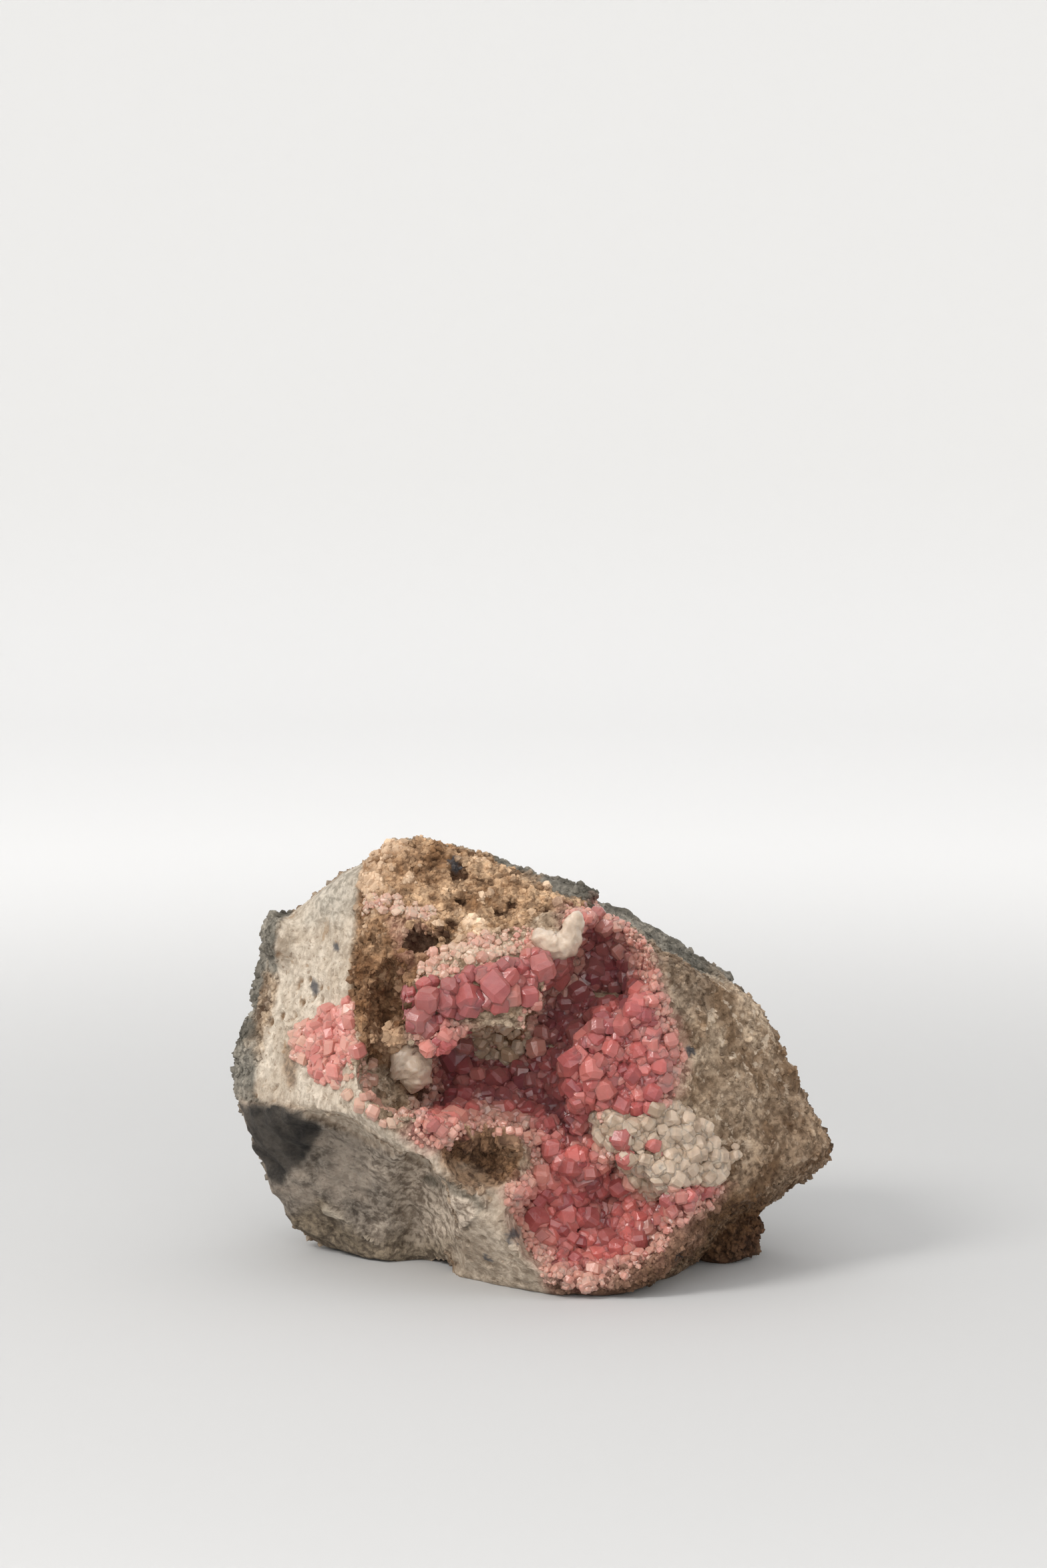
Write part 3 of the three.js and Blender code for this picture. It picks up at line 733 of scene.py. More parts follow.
def rockMaterial():
    material, tree, shader = newMaterial("brokenHostRock")
    masks = {}

    def maskNamed(name):
        if name not in masks:
            numbers = rockMasks.get(name, ())
            if name == "gaps":
                masks[name] = maths(tree, "SUBTRACT", 1.0, maskNamed("grain"))
            elif not numbers:
                masks[name] = attribute(tree, name)
            elif len(numbers) == 2:
                masks[name] = ramp(tree, maskNamed("raised"), *numbers)
            else:
                kind, labels = "mottle", ("Size", "Detail", "Low", "High")
                if isinstance(numbers[0], tuple):
                    kind, labels = "streaks", ("Turn", "Width", "Low", "High")
                masks[name] = placeGroup(tree, kind, **dict(zip(labels, numbers)))
        return masks[name]

    def toneOf(tone):
        if isinstance(tone, str):
            first, *layers = rockTones[tone]
            colour = toneOf(first)
            for mask, share, over in layers:
                amount = maskNamed(mask) if share == 1 else maths(tree, "MULTIPLY", maskNamed(mask), share)
                colour = mixColour(tree, amount, colour, toneOf(over))
            return colour
        return mixColour(tree, maskNamed(tone[0]), *tone[1:]) if isinstance(tone[0], str) else tone

    colour = toneOf("rock")
    # painted shade: the colour is multiplied by a brown where the mask says
    umberShadeTone = mixColour(tree, 1.0, colour, rockTones["umberShadeTint"], "MULTIPLY")
    colour = mixColour(tree, maths(tree, "MULTIPLY", attribute(tree, "umberShade"), 0.9), colour, umberShadeTone)
    lift = maths(tree, "ADD", maths(tree, "MULTIPLY", attribute(tree, "tone"), 0.5), 0.75)
    shaded = addNode(tree, "ShaderNodeHueSaturation", {"Value": lift, "Color": colour})
    tree.links.new(shaded.outputs["Color"], shader.inputs["Base Color"])
    shader.inputs["Roughness"].default_value = 0.88
    shader.inputs["Specular IOR Level"].default_value = 0.25
    stoneBump(tree, shader, 0.0011, 0.00035, 0.8, 0.0006)
    return material


def dropCrumbs(made):
    # the even mesh can leave crumbs of a few corners: low labels spread along the edges, and a crumb is
    # a label that no edge leaves
    mesh = made.data
    ends = np.zeros(len(mesh.edges) * 2, np.int32)
    mesh.edges.foreach_get("vertices", ends)
    first, second = ends.reshape(-1, 2).T
    labels = np.arange(len(mesh.vertices))
    for _ in range(rockPlan["crumbSpan"]):
        lowest = np.minimum(labels[first], labels[second])
        np.minimum.at(labels, first, lowest)
        np.minimum.at(labels, second, lowest)
    crossing = labels[first] != labels[second]
    joined = np.isin(labels, np.concatenate([labels[first[crossing]], labels[second[crossing]]]))
    form = bmesh.new()
    form.from_mesh(mesh)
    form.verts.ensure_lookup_table()
    crumbs = [form.verts[k] for k in np.flatnonzero(~joined)]
    bmesh.ops.delete(form, geom=crumbs, context="VERTS")
    form.to_mesh(mesh)
    form.free()
    print("stage: dropped", len(crumbs), "corners of crumbs")


rock = buildRockForm()
rockSkins = roughenRock(rock)
rockFinish = rockMaterial()
finishPiece(rock, "host_rock", rockFinish)
rockPoints = fromFrame(meshPoints(rock))
rockNormals = meshNormals(rock)
rockSpots = seenFromFront(rockPoints)
rockFacing = facesFront(rockNormals)
dropCrumbs(rock)
print("stage: host rock,", len(rock.data.polygons), "faces")


def bevelledCube(bevel):
    # each side shrinks by bevel, strips join the sides and triangles close the corners: 26 faces
    def corner(axis, side, first, second):
        return axis * 8 + side * 4 + first * 2 + second

    points = np.zeros((24, 3))
    for axis, side, first, second in np.ndindex(3, 2, 2, 2):
        spot = [side * 2 - 1, (first * 2 - 1) * (1.0 - bevel), (second * 2 - 1) * (1.0 - bevel)]
        points[corner(axis, side, first, second)] = np.roll(spot, axis)
    quads, triangles = [], []
    for axis, side in np.ndindex(3, 2):
        after = (axis + 1) % 3
        ring = [corner(axis, side, *pair) for pair in ((0, 0), (1, 0), (1, 1), (0, 1))]
        quads.append(ring if side else ring[::-1])
        for other in (0, 1):
            strip = [corner(axis, side, other, 0), corner(after, other, 0, side),
                     corner(after, other, 1, side), corner(axis, side, other, 1)]
            quads.append(strip if side == other else strip[::-1])
    for one, two, three in np.ndindex(2, 2, 2):
        tip = [corner(0, one, two, three), corner(1, two, three, one), corner(2, three, one, two)]
        triangles.append(tip if (one + two + three) % 2 else tip[::-1])
    return points, np.array(quads), np.array(triangles)


def rhombCrystal(bevel, squash):
    # a bevelled cube flattened along its corner-to-corner diagonal, which then stands along Z
    points, quads, triangles = bevelledCube(bevel)
    turn = Vector((1, 1, 1)).rotation_difference(Vector((0, 0, 1))).to_matrix()
    points = points @ np.array(turn).T
    points[:, 2] *= squash
    return points * 0.5, quads, triangles


def stoneGrain():
    # twenty triangles round a golden-ratio solid
    long = (1 + math.sqrt(5)) / 2
    ring = [(-1, long, 0), (1, long, 0), (-1, -long, 0), (1, -long, 0)]
    points = np.array(ring + [(c, a, b) for a, b, c in ring] + [(b, c, a) for a, b, c in ring], float)
    triangles = np.array([(0, 11, 5), (0, 5, 1), (0, 1, 7), (0, 7, 10), (0, 10, 11), (1, 5, 9), (5, 11, 4),
                          (11, 10, 2), (10, 7, 6), (7, 1, 8), (3, 9, 4), (3, 4, 2), (3, 2, 6), (3, 6, 8),
                          (3, 8, 9), (4, 9, 5), (2, 4, 11), (6, 2, 10), (8, 6, 7), (9, 8, 1)])
    return points / (2 * math.sqrt(1 + long * long)), np.zeros((0, 4), int), triangles


def unit(rows):
    return rows / np.linalg.norm(rows, axis=1)[:, None]


def swing(angle, first, second):
    # the direction at an angle from first towards second
    return np.cos(angle)[:, None] * first + np.sin(angle)[:, None] * second


def turnsFrom(normals, lean, draw):
    # rotation that takes Z to each normal, leaned by a random angle and spun about it
    count = len(normals)
    lean = lean * np.sqrt(draw.random(count))
    heading = draw.random(count) * 2 * np.pi
    spin = draw.random(count) * 2 * np.pi
    side = unit(np.cross(normals, np.array([0.31, 0.17, 0.93])))
    axis = swing(lean, normals, swing(heading, side, np.cross(normals, side)))
    first = unit(np.cross(axis, side + 0.01))
    spun = swing(spin, first, np.cross(axis, first))
    return np.stack([spun, np.cross(axis, spun), axis], axis=-1)


def scatter(name, template, sites, sizes, turns, layers, draw, uneven):
    # one mesh of copies: template made uneven, sized, turned and set at each site
    shape, quads, triangles = template
    count = len(sites)
    stretch = 1 + 0.12 * (draw.random((count, 1, 3)) - 0.5) * 2
    body = shape[None] * stretch + uneven * (draw.random((count, len(shape), 3)) - 0.5)
    points = np.einsum("nij,nkj->nki", turns, body * sizes[:, None, None]) + sites[:, None, :]
    points[:, :, 2] = np.maximum(points[:, :, 2], 0.0)
    step = (np.arange(count) * len(shape))[:, None, None]
    made = meshObject(name, toFrame(points.reshape(-1, 3)), (quads[None] + step).reshape(-1, 4),
                      (triangles[None] + step).reshape(-1, 3), flat=True)
    paint(made, {layer: np.repeat(values, len(shape)) for layer, values in layers.items()})
    return made


def spacedSites(allowed, spacing, draw):
    # one allowed rock point from each cube of a grid of that spacing, in a random order
    index = np.flatnonzero(allowed)
    draw.shuffle(index)
    cells = np.floor(rockPoints[index] / spacing + draw.random(3)).astype(np.int64)
    return index[np.unique(cells, axis=0, return_index=True)[1]]


def siteAt(across, up):
    # the rock point that shows at a place seen from the front
    gap = awayFrom(rockSpots, across, up)
    near = np.flatnonzero((gap < 0.8) & (rockFacing > -0.2))
    if not len(near):
        near = np.argsort(gap)[:1]
    return near[np.argmin(rockPoints[near, 1])]


def seatsOn(chosen, sizes, sink):
    return rockPoints[chosen] + rockNormals[chosen] * (sink * sizes)[:, None]


# millimetres apart and across, and the spread of sizes
gritPlan = {
    "crustGrit": {"spacing": 0.74, "size": 0.62, "spread": 0.50, "seed": 21},
    "sandGrit": {"spacing": 0.92, "size": 0.52, "spread": 0.55, "seed": 22},
}


def buildGrit(name, allowed):
    plan = gritPlan[name]
    draw = np.random.default_rng(plan["seed"])
    chosen = spacedSites(allowed, plan["spacing"], draw)
    sizes = plan["size"] * np.clip(draw.lognormal(0.0, plan["spread"], len(chosen)), 0.4, 2.6)
    layers = {skin: values[chosen] for skin, values in rockSkins.items()}
    layers["tone"] = 0.1 + 0.8 * draw.random(len(chosen))
    layers["raised"] = np.clip(layers["raised"] + 0.12 * draw.random(len(chosen)), 0, 1)
    made = scatter(name, stoneGrain(), seatsOn(chosen, sizes, -0.10), sizes,
                   turnsFrom(rockNormals[chosen], 1.4, draw), layers, draw, 0.32)
    finishPiece(made, "host_rock", rockFinish)
    print("stage:", name, len(chosen), "grains")


rockY, rockZ = rockPoints[:, 1], rockPoints[:, 2]
rockAcross, rockUp = rockSpots.T
openFront = (rockFacing > -0.25) & (rockY < 8) & (rockZ > 1)
crusty = np.maximum(rockSkins["crust"], rockSkins["rim"]) + 0.35 * fractalNoise(rockPoints, 3.0, 2, 160)
buildGrit("crustGrit", (crusty > 0.5) & (rockZ > 0.8) & (rockSkins["druse"] < 0.3))
sandy = 1 - sum(rockSkins[skin] for skin in ("crust", "cream", "grey", "druse", "rim"))
buildGrit("sandGrit", (sandy > 0.5) & (rockZ > 0.8) & (rockY < 12)
          & (fractalNoise(rockPoints, 5.0, 2, 165) > -0.25))


def rhodochrositeMaterial(name, light, dark, shadeAndTintTone, paleTone, clear, glow):
    material, tree, shader = newMaterial(name)
    cloud = placeGroup(tree, "mottle", Size=0.0018, Detail=3.0, Low=0.30, High=0.70)
    mixed = maths(tree, "ADD", maths(tree, "MULTIPLY", attribute(tree, "tone"), 0.75),
                  maths(tree, "MULTIPLY", cloud, 0.25))
    colour = mixColour(tree, ramp(tree, mixed, 0.08, 0.92), dark, light)
    # painted shade, and a deeper pink tint in patches, mixed in by the attribute's share
    colour = mixColour(tree, attribute(tree, "shadeAndTint"), colour, shadeAndTintTone)
    colour = mixColour(tree, attribute(tree, "pale"), colour, paleTone)
    glancing = addNode(tree, "ShaderNodeLayerWeight", {"Blend": 0.45}).outputs["Facing"]
    colour = mixColour(tree, maths(tree, "MULTIPLY", glancing, 0.24), colour, (0.86, 0.50, 0.42))
    tree.links.new(colour, shader.inputs["Base Color"])
    shader.inputs["Roughness"].default_value = 0.20
    shader.inputs["IOR"].default_value = 1.6
    shader.inputs["Transmission Weight"].default_value = clear
    shader.inputs["Subsurface Weight"].default_value = 0.5
    shader.inputs["Subsurface Radius"].default_value = (1.0, 0.45, 0.40)
    shader.inputs["Subsurface Scale"].default_value = glow * mm
    stoneBump(tree, shader, 0.0008, 0.0003, 0.45, 0.0003)
    return material


# light and dark tones, the tone for painted shade and a deeper tint, and the pale tone, then how clear it is
# and how far light travels in it, in millimetres
pink = rhodochrositeMaterial("raspberryRhodochrosite", (0.80, 0.20, 0.175), (0.40, 0.070, 0.078),
                             (0.26, 0.062, 0.075), (0.80, 0.42, 0.33), 0.30, 1.1)
palePink = rhodochrositeMaterial("sugaryRhodochrosite", (0.72, 0.30, 0.25), (0.52, 0.155, 0.13),
                                 (0.34, 0.20, 0.14), (0.62, 0.45, 0.335), 0.10, 0.4)
# every kind of crystal starts from these; leads are larger crystals at chosen places: across, up, size
crystalStart = {"spread": 0.35, "bevel": 0.42, "squash": 0.90, "lean": 0.6, "sink": 0.10, "leads": ()}


def growOn(name, node, finish, allowed, plan, sizeAt=1.0, paleAt=0.0, shadeAndTintAt=0.0):
    # crystals on spaced rock points
    plan = {**crystalStart, **plan}
    draw = np.random.default_rng(plan["seed"])
    chosen = spacedSites(allowed, plan["spacing"], draw)
    scale, pale, shadeAndTint = (np.broadcast_to(value, len(rockPoints)) for value in (sizeAt, paleAt, shadeAndTintAt))
    sizes = plan["size"] * scale[chosen] * np.clip(draw.lognormal(0.0, plan["spread"], len(chosen)), 0.5, 1.8)
    chosen = np.concatenate([chosen, [siteAt(*lead[:2]) for lead in plan["leads"]]]).astype(int)
    sizes = np.concatenate([sizes, [lead[2] for lead in plan["leads"]]])
    layers = {"tone": draw.random(len(chosen)),
              "pale": np.clip(pale[chosen] + 0.15 * draw.standard_normal(len(chosen)), 0, 1),
              "shadeAndTint": np.clip(shadeAndTint[chosen], 0, 1)}
    made = scatter(name, rhombCrystal(plan["bevel"], plan["squash"]), seatsOn(chosen, sizes, plan["sink"]),
                   sizes, turnsFrom(rockNormals[chosen], plan["lean"], draw), layers, draw, 0.10)
    finishPiece(made, node, finish)
    print("stage:", name, len(chosen), "crystals")


# millimetres apart and across, then the spread of sizes, the corners' bevel, the squash along the long
# diagonal, the lean from the rock's normal in radians, and how far each one sinks, in its own sizes
drusePlan = {
    "mainDruseBase": {"spacing": 1.10, "size": 1.35, "spread": 0.22, "bevel": 0.38, "squash": 0.88,
        "lean": 0.8, "seed": 31},
    "mainDruseMain": {"spacing": 1.50, "size": 1.80, "spread": 0.26, "squash": 0.88, "sink": 0.16,
        "seed": 32},
    "mainDruseTop": {"spacing": 2.80, "size": 2.20, "spread": 0.20, "sink": 0.28, "seed": 33,
        "leads": ((8.8, 47.9, 3.4), (6, 44.3, 2.6), (9.8, 39.1, 2.8), (6, 34.3, 3.5),
            (8, 32.4, 3.1), (10.3, 30, 3.2), (0.3, 35.7, 3), (14.3, 31.9, 2.6), (-10.7, 36, 3),
            (-10.7, 33.1, 3.2), (-7.4, 31.9, 2.3), (-5, 31.9, 2.7), (-2.1, 31.9, 2.7),
            (-10.5, 29.1, 2.6), (5.2, 19.2, 2.9), (1.3, 17.5, 2.4), (4.7, 12.2, 3.1),
            (7.6, 11.6, 2.6), (12.6, 12.4, 2.9), (14.7, 8.8, 2.2), (0.2, 11.8, 2.9),
            (9.5, 8.4, 2.6), (8.6, 4.6, 2.2), (13.6, 16.4, 2.4), (3, 21.8, 2.6))},
}
inDruse = outlineDistance(rockSpots, rockPlan["druse"])
edgeWobble = fractalNoise(rockPoints, 4.0, 3, 200)
sizeWave = 1 + 0.35 * fractalNoise(rockPoints, 6.0, 2, 205)
inset = -inDruse - 1.2 * edgeWobble
whiteOutline = ((9.3, 26.5), (12.3, 27.5), (16.3, 27.5), (20.3, 28), (24.8, 24.5), (26.8, 20.5), (27.8, 18),
    (24.3, 17), (20.3, 16.5), (17.3, 14.7), (14.3, 17.5), (13.8, 20.5), (10.3, 23.5))
inWhite = outlineDistance(rockSpots, whiteOutline)
pitReach = ellipsoidReach(rockPoints, "bowls", "brownPit")
visible = openFront & (inWhite > -0.3) & (pitReach > 1.06) & (rockY < 3)
visible &= (rockNormals[:, 2] < 0.6) | (rockY < -10 + 3 * edgeWobble)
for across, up, radius in rockPlan["gaps"]:
    visible &= awayFrom(rockSpots, across, up) > radius
# paler along the edge and at the foot, and painted light on the lit rim of the middle bowl
drusePale = 0.85 * smoothStep(3.0, 0.2, inset) + 0.2 * smoothStep(7, 3, rockUp)
drusePale += 0.3 * smoothStep(1.2, -1.0, np.abs(rockUp - 24.5) - 3 + 0.3 * np.abs(rockAcross + 8))
# painted shade far inside and in the two shaded places, and a deeper pink tint in patches
druseShadeAndTint = 0.8 * smoothStep(-18, -6, rockY)
druseShadeAndTint += 0.75 * smoothStep(0.05, 0.4, fractalNoise(rockPoints, 5.5, 2, 230)) * smoothStep(6, 15, rockUp)
druseShadeAndTint += 0.3 * np.exp(-((rockAcross - 10.3) / 6) ** 2 - ((rockUp - 36.5) / 5) ** 2)
druseShadeAndTint += np.exp(-((rockAcross - 3.8) / 3.2) ** 2 - ((rockUp - 26.2) / 3.2) ** 2)
druseScale = sizeWave * (0.55 + 0.45 * smoothStep(0.0, 3.2, inset))
for label, least in (("mainDruseBase", -0.6), ("mainDruseMain", 0.1), ("mainDruseTop", 1.8)):
    thinned = (inset > least) & visible
    if label == "mainDruseTop":
        thinned &= fractalNoise(rockPoints, 5.0, 2, 210) > -0.05
    growOn(label, "rhodochrosite_main_druse", pink, thinned, drusePlan[label],
           druseScale, drusePale, druseShadeAndTint)

ledgePlan = {
    "spacing": 1.6, "size": 1.8, "spread": 0.28, "bevel": 0.40, "lean": 0.7, "sink": 0.20, "seed": 41,
    "band": ((-17.8, 38.5), (-18.4, 43.5), (-15.5, 45.5), (-11, 45.8), (-7, 48), (-2, 48.2), (0, 50),
        (4.6, 50.2), (5.2, 46.6), (0.5, 45.2), (-1.2, 42.3), (-7, 42), (-9.5, 39.8), (-14, 39.5)),
    "leads": ((-5.4, 44.8, 4.3), (-3.2, 43.6, 3.1), (0.8, 47.6, 3.6), (3.2, 47.2, 3.2), (-15, 43.3, 3.6),
        (-16.6, 40.6, 3), (-12.4, 42.2, 2.7), (-9.8, 42, 2.9), (-7.8, 43.4, 2.6), (-14.8, 39.3, 2.5)),
    "top": ((-18, 44.6), (-16.8, 47.6), (-13.5, 50.6), (-9, 51.4), (-4.6, 52.6), (-0.5, 53.2), (2.5, 52.4),
        (-0.2, 50.2), (-4.4, 48.6), (-9, 47.4), (-12.6, 46), (-15.6, 44.8)),
}
inLedge = outlineDistance(rockSpots, ledgePlan["band"])
# painted shade on the hanging crystals under the ledge, darker towards their lower edge
growOn("ledgeCrystals", "rhodochrosite_ledge_crystals", pink, (inLedge < -0.3) & openFront,
       ledgePlan, shadeAndTintAt=0.45 + 0.25 * smoothStep(43, 40, rockUp))
onLedge = outlineDistance(rockSpots, ledgePlan["top"])
fineLedge = {**ledgePlan, "spacing": 0.85, "size": 0.85, "spread": 0.40, "sink": 0.10, "seed": 42,
             "leads": ()}
growOn("ledgeTopCrystals", "rhodochrosite_ledge_crystals", palePink,
       (onLedge + 2.2 * edgeWobble < -0.1) & openFront, fineLedge, sizeWave, 0.72 + 0.8 * edgeWobble,
       0.7 * smoothStep(0.0, 0.5, fractalNoise(rockPoints, 2.4, 2, 220)))

# the pale and the darker-tint numbers are shares of those tones; crystals grow only where the edge noise is
# over "thinnest"
palePlan = {
    "leftPatch": {"node": "rhodochrosite_left_patch", "pale": 0.0, "shadeAndTint": 0.0, "thinnest": -9,
        "spacing": 0.95, "size": 1.20, "spread": 0.32, "bevel": 0.36, "squash": 0.86, "lean": 0.9,
        "sink": 0.14, "seed": 51,
        "outline": ((-27.3, 44.2), (-26.3, 43), (-25.6, 40), (-25.4, 36), (-26.4, 33.4),
            (-28.2, 31), (-30.8, 30.2), (-32.4, 32.6), (-34.4, 35.4), (-35, 38.4), (-32.4, 40.2),
            (-29.8, 41.6)),
        "leads": ((-29.2, 32.6, 2.6), (-29.8, 38, 2.2), (-27.4, 36.6, 2.2), (-31.4, 35.6, 1.9),
            (-27.2, 39.6, 1.7))},
    "crestDruse": {"node": "rhodochrosite_crest_druse", "pale": 0.62, "shadeAndTint": 0.45, "thinnest": -9,
        "spacing": 0.8, "size": 0.85, "bevel": 0.34, "squash": 0.84, "lean": 0.9,
        "sink": 0.12, "seed": 52,
        "outline": ((-24.5, 58.2), (-21, 58.6), (-17, 57.6), (-14.5, 56), (-15.2, 54.2),
            (-18, 54.4), (-21.5, 55), (-24.8, 55.6))},
    "cleftFringe": {"node": "rhodochrosite_left_patch", "pale": 0.45, "shadeAndTint": 0.4, "thinnest": 0.02,
        "spacing": 1.2, "size": 1, "bevel": 0.36, "squash": 0.86, "lean": 0.9, "seed": 53,
        "outline": ((-26.5, 35.5), (-23, 34), (-21.2, 29.5), (-17, 28.5), (-17.4, 24.8),
            (-19.7, 24), (-24.7, 26.4), (-27.8, 29.7))},
}
for name, plan in palePlan.items():
    gap = outlineDistance(rockSpots, plan["outline"]) + 2.2 * edgeWobble
    allowed = (gap < -0.3) & openFront & (rockY < -4) & (edgeWobble > plan["thinnest"])
    paleAt = plan["pale"] + 0.35 * smoothStep(-1.5, 0.2, gap) + 0.35 * smoothStep(-31, -34, rockAcross)
    growOn(name, plan["node"], palePink, allowed, plan, sizeWave, paleAt, plan["shadeAndTint"])


def calciteMaterial():
    material, tree, shader = newMaterial("milkyCalcite")
    cloud = placeGroup(tree, "mottle", Size=0.0022, Detail=3.0, Low=0.30, High=0.70)
    colour = mixColour(tree, cloud, (0.36, 0.255, 0.175), (0.64, 0.495, 0.375))
    tone = maths(tree, "MULTIPLY", attribute(tree, "tone"), 0.40)
    colour = mixColour(tree, tone, colour, (0.74, 0.62, 0.50))
    colour = mixColour(tree, attribute(tree, "shadeAndTint"), colour, (0.40, 0.245, 0.13))
    tree.links.new(colour, shader.inputs["Base Color"])
    shader.inputs["Roughness"].default_value = 0.38
    shader.inputs["IOR"].default_value = 1.55
    shader.inputs["Transmission Weight"].default_value = 0.15
    shader.inputs["Subsurface Weight"].default_value = 0.5
    shader.inputs["Subsurface Radius"].default_value = (1.0, 0.8, 0.6)
    shader.inputs["Subsurface Scale"].default_value = 0.0006
    stoneBump(tree, shader, 0.0008, 0.0003, 0.4, 0.0003)
    return material


calcite = calciteMaterial()
calcitePlan = {
    "calciteRight": {"spacing": 0.95, "size": 1.25, "spread": 0.45, "bevel": 0.44, "squash": 0.92,
        "lean": 1.1, "sink": 0.22, "seed": 61,
        "leads": ((24, 21.2, 2.4), (22.2, 24.8, 2), (11.6, 25.8, 2.3), (17.5, 18.6, 2),
            (29.1, 20.9, 1.6), (30.1, 20.4, 1.3), (28.9, 20, 1.2), (29.6, 21.9, 1.1),
            (26.5, 20, 1.9), (20.6, 20.4, 2.2))},
    "calciteDeep": {"spacing": 1.15, "size": 1.05, "spread": 0.50, "bevel": 0.42, "squash": 0.92, "lean": 1.1,
        "sink": 0.32, "seed": 62},
    "calcitePinkGuest": {"spacing": 1.50, "size": 1.80, "spread": 0.26, "squash": 0.88, "sink": 0.16,
        "seed": 63,
        "leads": ((17.2, 21.6, 2), (18.6, 21.2, 1.4), (12.4, 22.4, 2.6), (13.6, 20, 2.4),
            (11.2, 23, 2))},
}
growOn("calciteRight", "calcite_cluster_right", calcite,
       (inWhite + 2.4 * edgeWobble < 0.1) & openFront, calcitePlan["calciteRight"], sizeWave)
deepGap = np.hypot((rockAcross + 5.6) / 5.4, (rockUp - 37.8) / 2.9) + 2.0 * (rockY < -16)
growOn("calciteDeep", "calcite_cluster_deep", calcite,
       (deepGap + 0.6 * edgeWobble < 1) & openFront & (fractalNoise(rockPoints, 3.0, 2, 215) > -0.10),
       calcitePlan["calciteDeep"], sizeWave, shadeAndTintAt=0.35 + 0.9 * fractalNoise(rockPoints, 3.0, 1, 216))
# a few pink crystals stand among the white ones: only the chosen places
growOn("calcitePinkGuest", "calcite_cluster_right", pink, np.zeros(len(rockPoints), bool),
       calcitePlan["calcitePinkGuest"])

nodulePlan = {
    # path seen from the front (across, up, radius), and how far its axis stands off the rock
    "calciteTop": {"path": ((0.5, 53.2, 0.9), (0.9, 52, 1.5), (2.1, 50.8, 2), (3.5, 50.4, 2.2),
            (4.9, 51.2, 2), (5.6, 52.8, 1.6), (6.1, 54.3, 1.5), (6.4, 55.6, 1)),
        "off": 3.4, "seed": 71},
    "calciteLeft": {"path": ((-20.6, 35.6, 1.1), (-19.2, 34.6, 2.1), (-17.9, 33.3, 2.8), (-17.3, 32, 2.6),
            (-17.5, 30.6, 1.6), (-17.8, 29.3, 0.5)), "off": 1.2, "seed": 72},
}


def buildNodule(name, node):
    # circles carried along a smooth path: the radius swells as the path says, then noise makes lumps
    plan = nodulePlan[name]
    across, up, radii = np.array(plan["path"]).T
    depth = np.median([rockPoints[siteAt(*stop[:2]), 1] for stop in plan["path"]]) - plan["off"]
    height = (up - (depth + tiltDepth) * math.sin(lensTilt)) / math.cos(lensTilt)
    stops = np.stack([across, np.full(len(across), depth), height, radii], axis=1)
    steps = np.linspace(0, len(stops) - 1, 44)
    line = np.stack([np.interp(steps, np.arange(len(stops)), stops[:, k]) for k in range(4)], axis=1)
    for _ in range(8):
        line[1:-1] = (line[:-2] + 2 * line[1:-1] + line[2:]) / 4
    taper = np.sqrt(np.clip(1 - np.abs(np.linspace(-1, 1, len(line))) ** 6, 0.02, 1))
    ahead = unit(np.gradient(line[:, :3], axis=0))
    side = unit(np.cross(ahead, [0.0, -1.0, 0.2]))
    turn = np.linspace(0, 2 * np.pi, 28, endpoint=False)[None, :, None]
    ring = np.cos(turn) * side[:, None] + np.sin(turn) * np.cross(side, ahead)[:, None]
    middle = line[:, None, :3]
    points = middle + ring * (line[:, 3] * taper)[:, None, None]
    lumps = 1 + 0.5 * fractalNoise(points.reshape(-1, 3), 2.2, 4, plan["seed"], 0.6)
    points = (middle + (points - middle) * lumps.reshape(len(line), -1, 1)).reshape(-1, 3)
    count, sides = len(points), ring.shape[1]
    here = np.arange(sides)
    beside = (here + 1) % sides
    last = count - sides
    quads = ringQuads(len(line), sides)
    points = np.vstack([points, line[0, :3], line[-1, :3]])
    caps = np.vstack([np.stack([np.full(sides, count), beside, here], axis=-1),
                      np.stack([np.full(sides, count + 1), last + here, last + beside], axis=-1)])
    made = meshObject(name, toFrame(points), quads, caps)
    paint(made, {"tone": np.full(len(points), 0.9), "shadeAndTint": np.zeros(len(points))})
    finishPiece(made, node, calcite)
    print("stage:", name, len(points), "points")


buildNodule("calciteTop", "calcite_nodule_top")
buildNodule("calciteLeft", "calcite_nodule_left")

backdropPlan = {"flatRadius": 0.9, "curve": 0.6, "wallHeight": 0.6,
                "nearTone": (0.57, 0.573, 0.575), "farTone": (0.91, 0.912, 0.915),
                "wallTone": (0.87, 0.87, 0.865)}


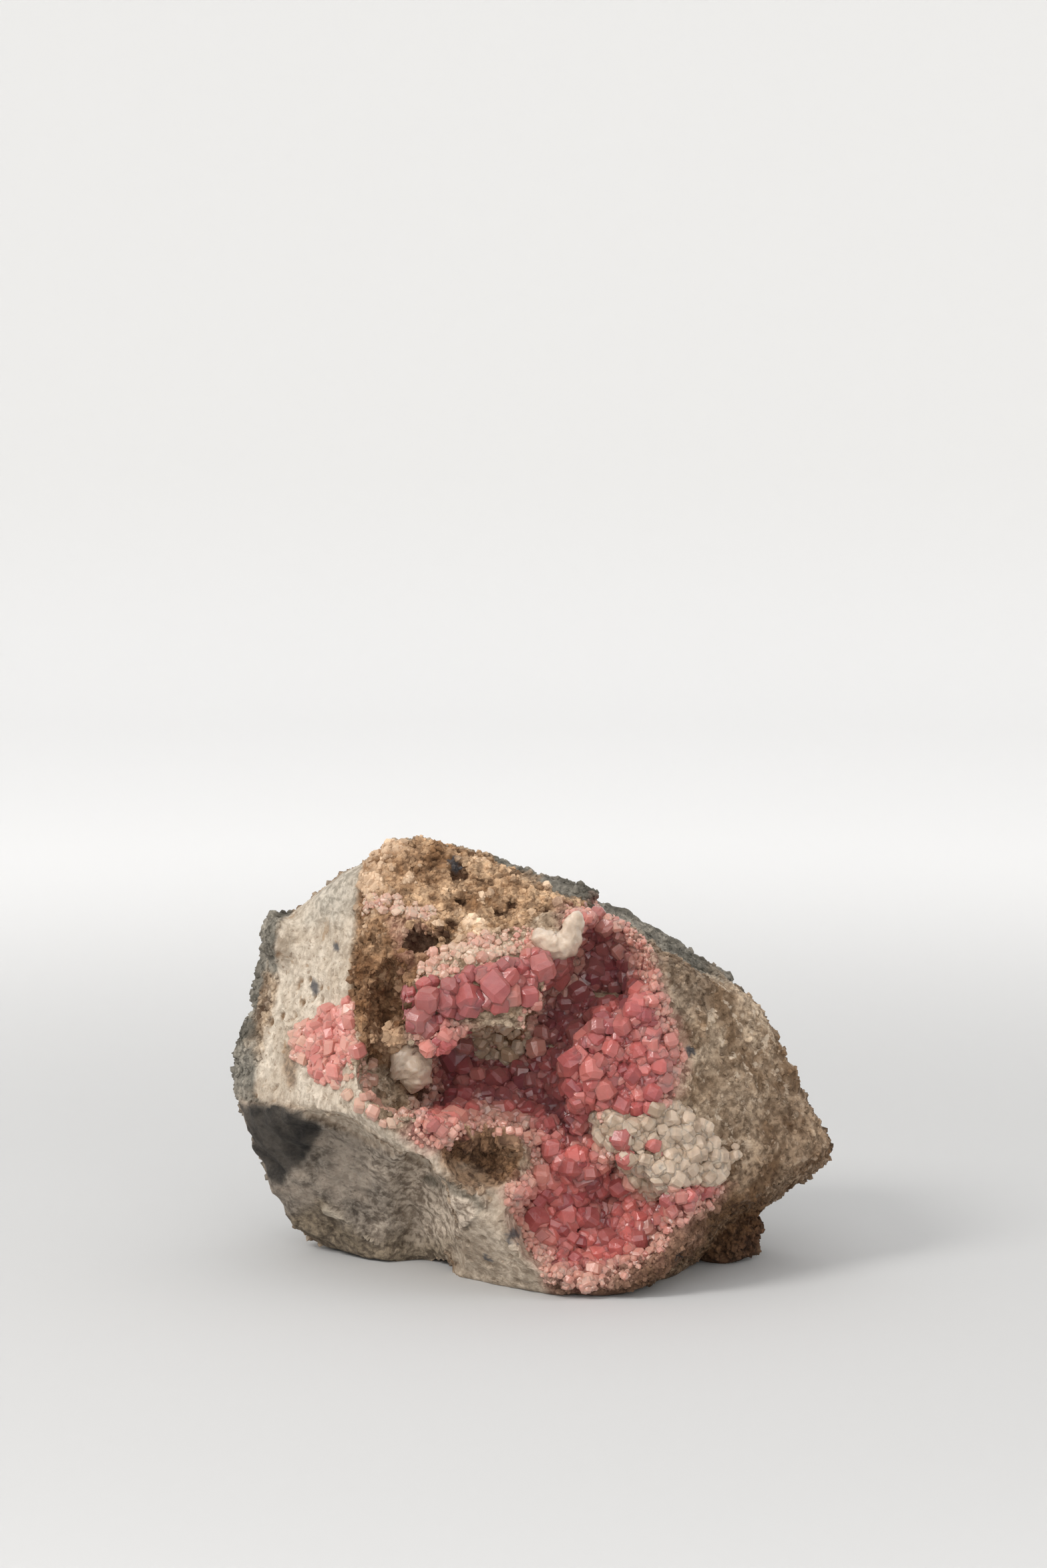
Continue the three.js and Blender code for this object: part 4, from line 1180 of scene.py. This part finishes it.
def buildBackdrop():
    # a round floor that curves up into a wall: radius and height follow a quarter circle
    plan = backdropPlan
    turn = np.linspace(0, 2 * np.pi, 96, endpoint=False)
    bend = np.linspace(0, np.pi / 2, 24)
    edge = plan["flatRadius"] + plan["curve"]
    radii = np.concatenate([[0.02, 0.2, 0.5], plan["flatRadius"] + plan["curve"] * np.sin(bend), [edge]])
    heights = np.concatenate([[0, 0, 0], plan["curve"] * (1 - np.cos(bend)),
                              [plan["curve"] + plan["wallHeight"]]])
    turnGrid, radiusGrid = np.meshgrid(turn, radii)
    heightGrid = np.repeat(heights[:, None], len(turn), axis=1)
    points = np.stack([radiusGrid * np.cos(turnGrid), radiusGrid * np.sin(turnGrid), heightGrid],
                      axis=-1).reshape(-1, 3)
    count = len(turn)
    here = np.arange(count)
    quads = ringQuads(len(radii), count)[:, ::-1]
    points = np.vstack([points, [0, 0, 0]])
    centre = np.stack([np.full(count, len(points) - 1), here, (here + 1) % count], axis=-1)
    backdrop = meshObject("backdrop", points, quads, centre)
    material, tree, shader = newMaterial("warmWhitePaper")
    place = addNode(tree, "ShaderNodeTexCoord").outputs["Object"]
    height = addNode(tree, "ShaderNodeSeparateXYZ", {"Vector": place}).outputs["Z"]
    away = addNode(tree, "ShaderNodeVectorMath", {0: place}, operation="LENGTH").outputs["Value"]
    tone = mixColour(tree, ramp(tree, away, 0.10, 0.55), plan["nearTone"], plan["farTone"])
    tone = mixColour(tree, ramp(tree, height, 0.0, 0.10), tone, plan["wallTone"])
    tree.links.new(tone, shader.inputs["Base Color"])
    shader.inputs["Roughness"].default_value = 0.95
    shader.inputs["Specular IOR Level"].default_value = 0.1
    backdrop.data.materials.append(material)


lightPlan = {
    "keyFromLeft": {"place": (-0.55, -0.42, 0.62), "size": 0.32, "power": 3.9, "tint": (1.0, 0.975, 0.94)},
    "softFromFront": {"place": (0.10, -0.80, 0.40), "size": 0.7, "power": 1.9, "tint": (1.0, 0.985, 0.965)},
}
roomLight = {"tint": (1.0, 0.99, 0.98, 1), "strength": 0.96}


def buildStage():
    scene = bpy.context.scene
    buildBackdrop()
    for name, plan in lightPlan.items():
        data = bpy.data.lights.new(name, "AREA")
        data.shape = "DISK"
        data.size = plan["size"]
        data.energy = plan["power"]
        data.color = plan["tint"]
        light = bpy.data.objects.new(name, data)
        light.location = plan["place"]
        aim = Vector((0, 0, 0.03)) - Vector(plan["place"])
        light.rotation_euler = aim.to_track_quat("-Z", "Y").to_euler()
        light.visible_camera = False
        scene.collection.objects.link(light)
    world = bpy.data.worlds.new("softRoom")
    world.use_nodes = True
    world.node_tree.nodes["Background"].inputs["Color"].default_value = roomLight["tint"]
    world.node_tree.nodes["Background"].inputs["Strength"].default_value = roomLight["strength"]
    scene.world = world
    scene.view_settings.view_transform = "Standard"


cameraPlan = {"lens": 90.0, "sensor": 36.0, "distance": 0.587, "aimHeight": 0.0295, "across": 0.0004,
              "lift": math.radians(4.0714), "aside": math.radians(0.1268)}


def buildCamera():
    # the lens sits on a circle round the specimen and looks above and left of its middle
    plan = cameraPlan
    data = bpy.data.cameras.new("frontCamera")
    data.lens = plan["lens"]
    data.sensor_width = plan["sensor"]
    camera = bpy.data.objects.new("frontCamera", data)
    bpy.context.scene.collection.objects.link(camera)
    camera.location = (plan["across"], -plan["distance"] * math.cos(lensTilt),
                       plan["aimHeight"] + plan["distance"] * math.sin(lensTilt))
    camera.rotation_euler = (math.pi / 2 - lensTilt + plan["lift"], 0, plan["aside"])
    bpy.context.scene.camera = camera


buildStage()
buildCamera()
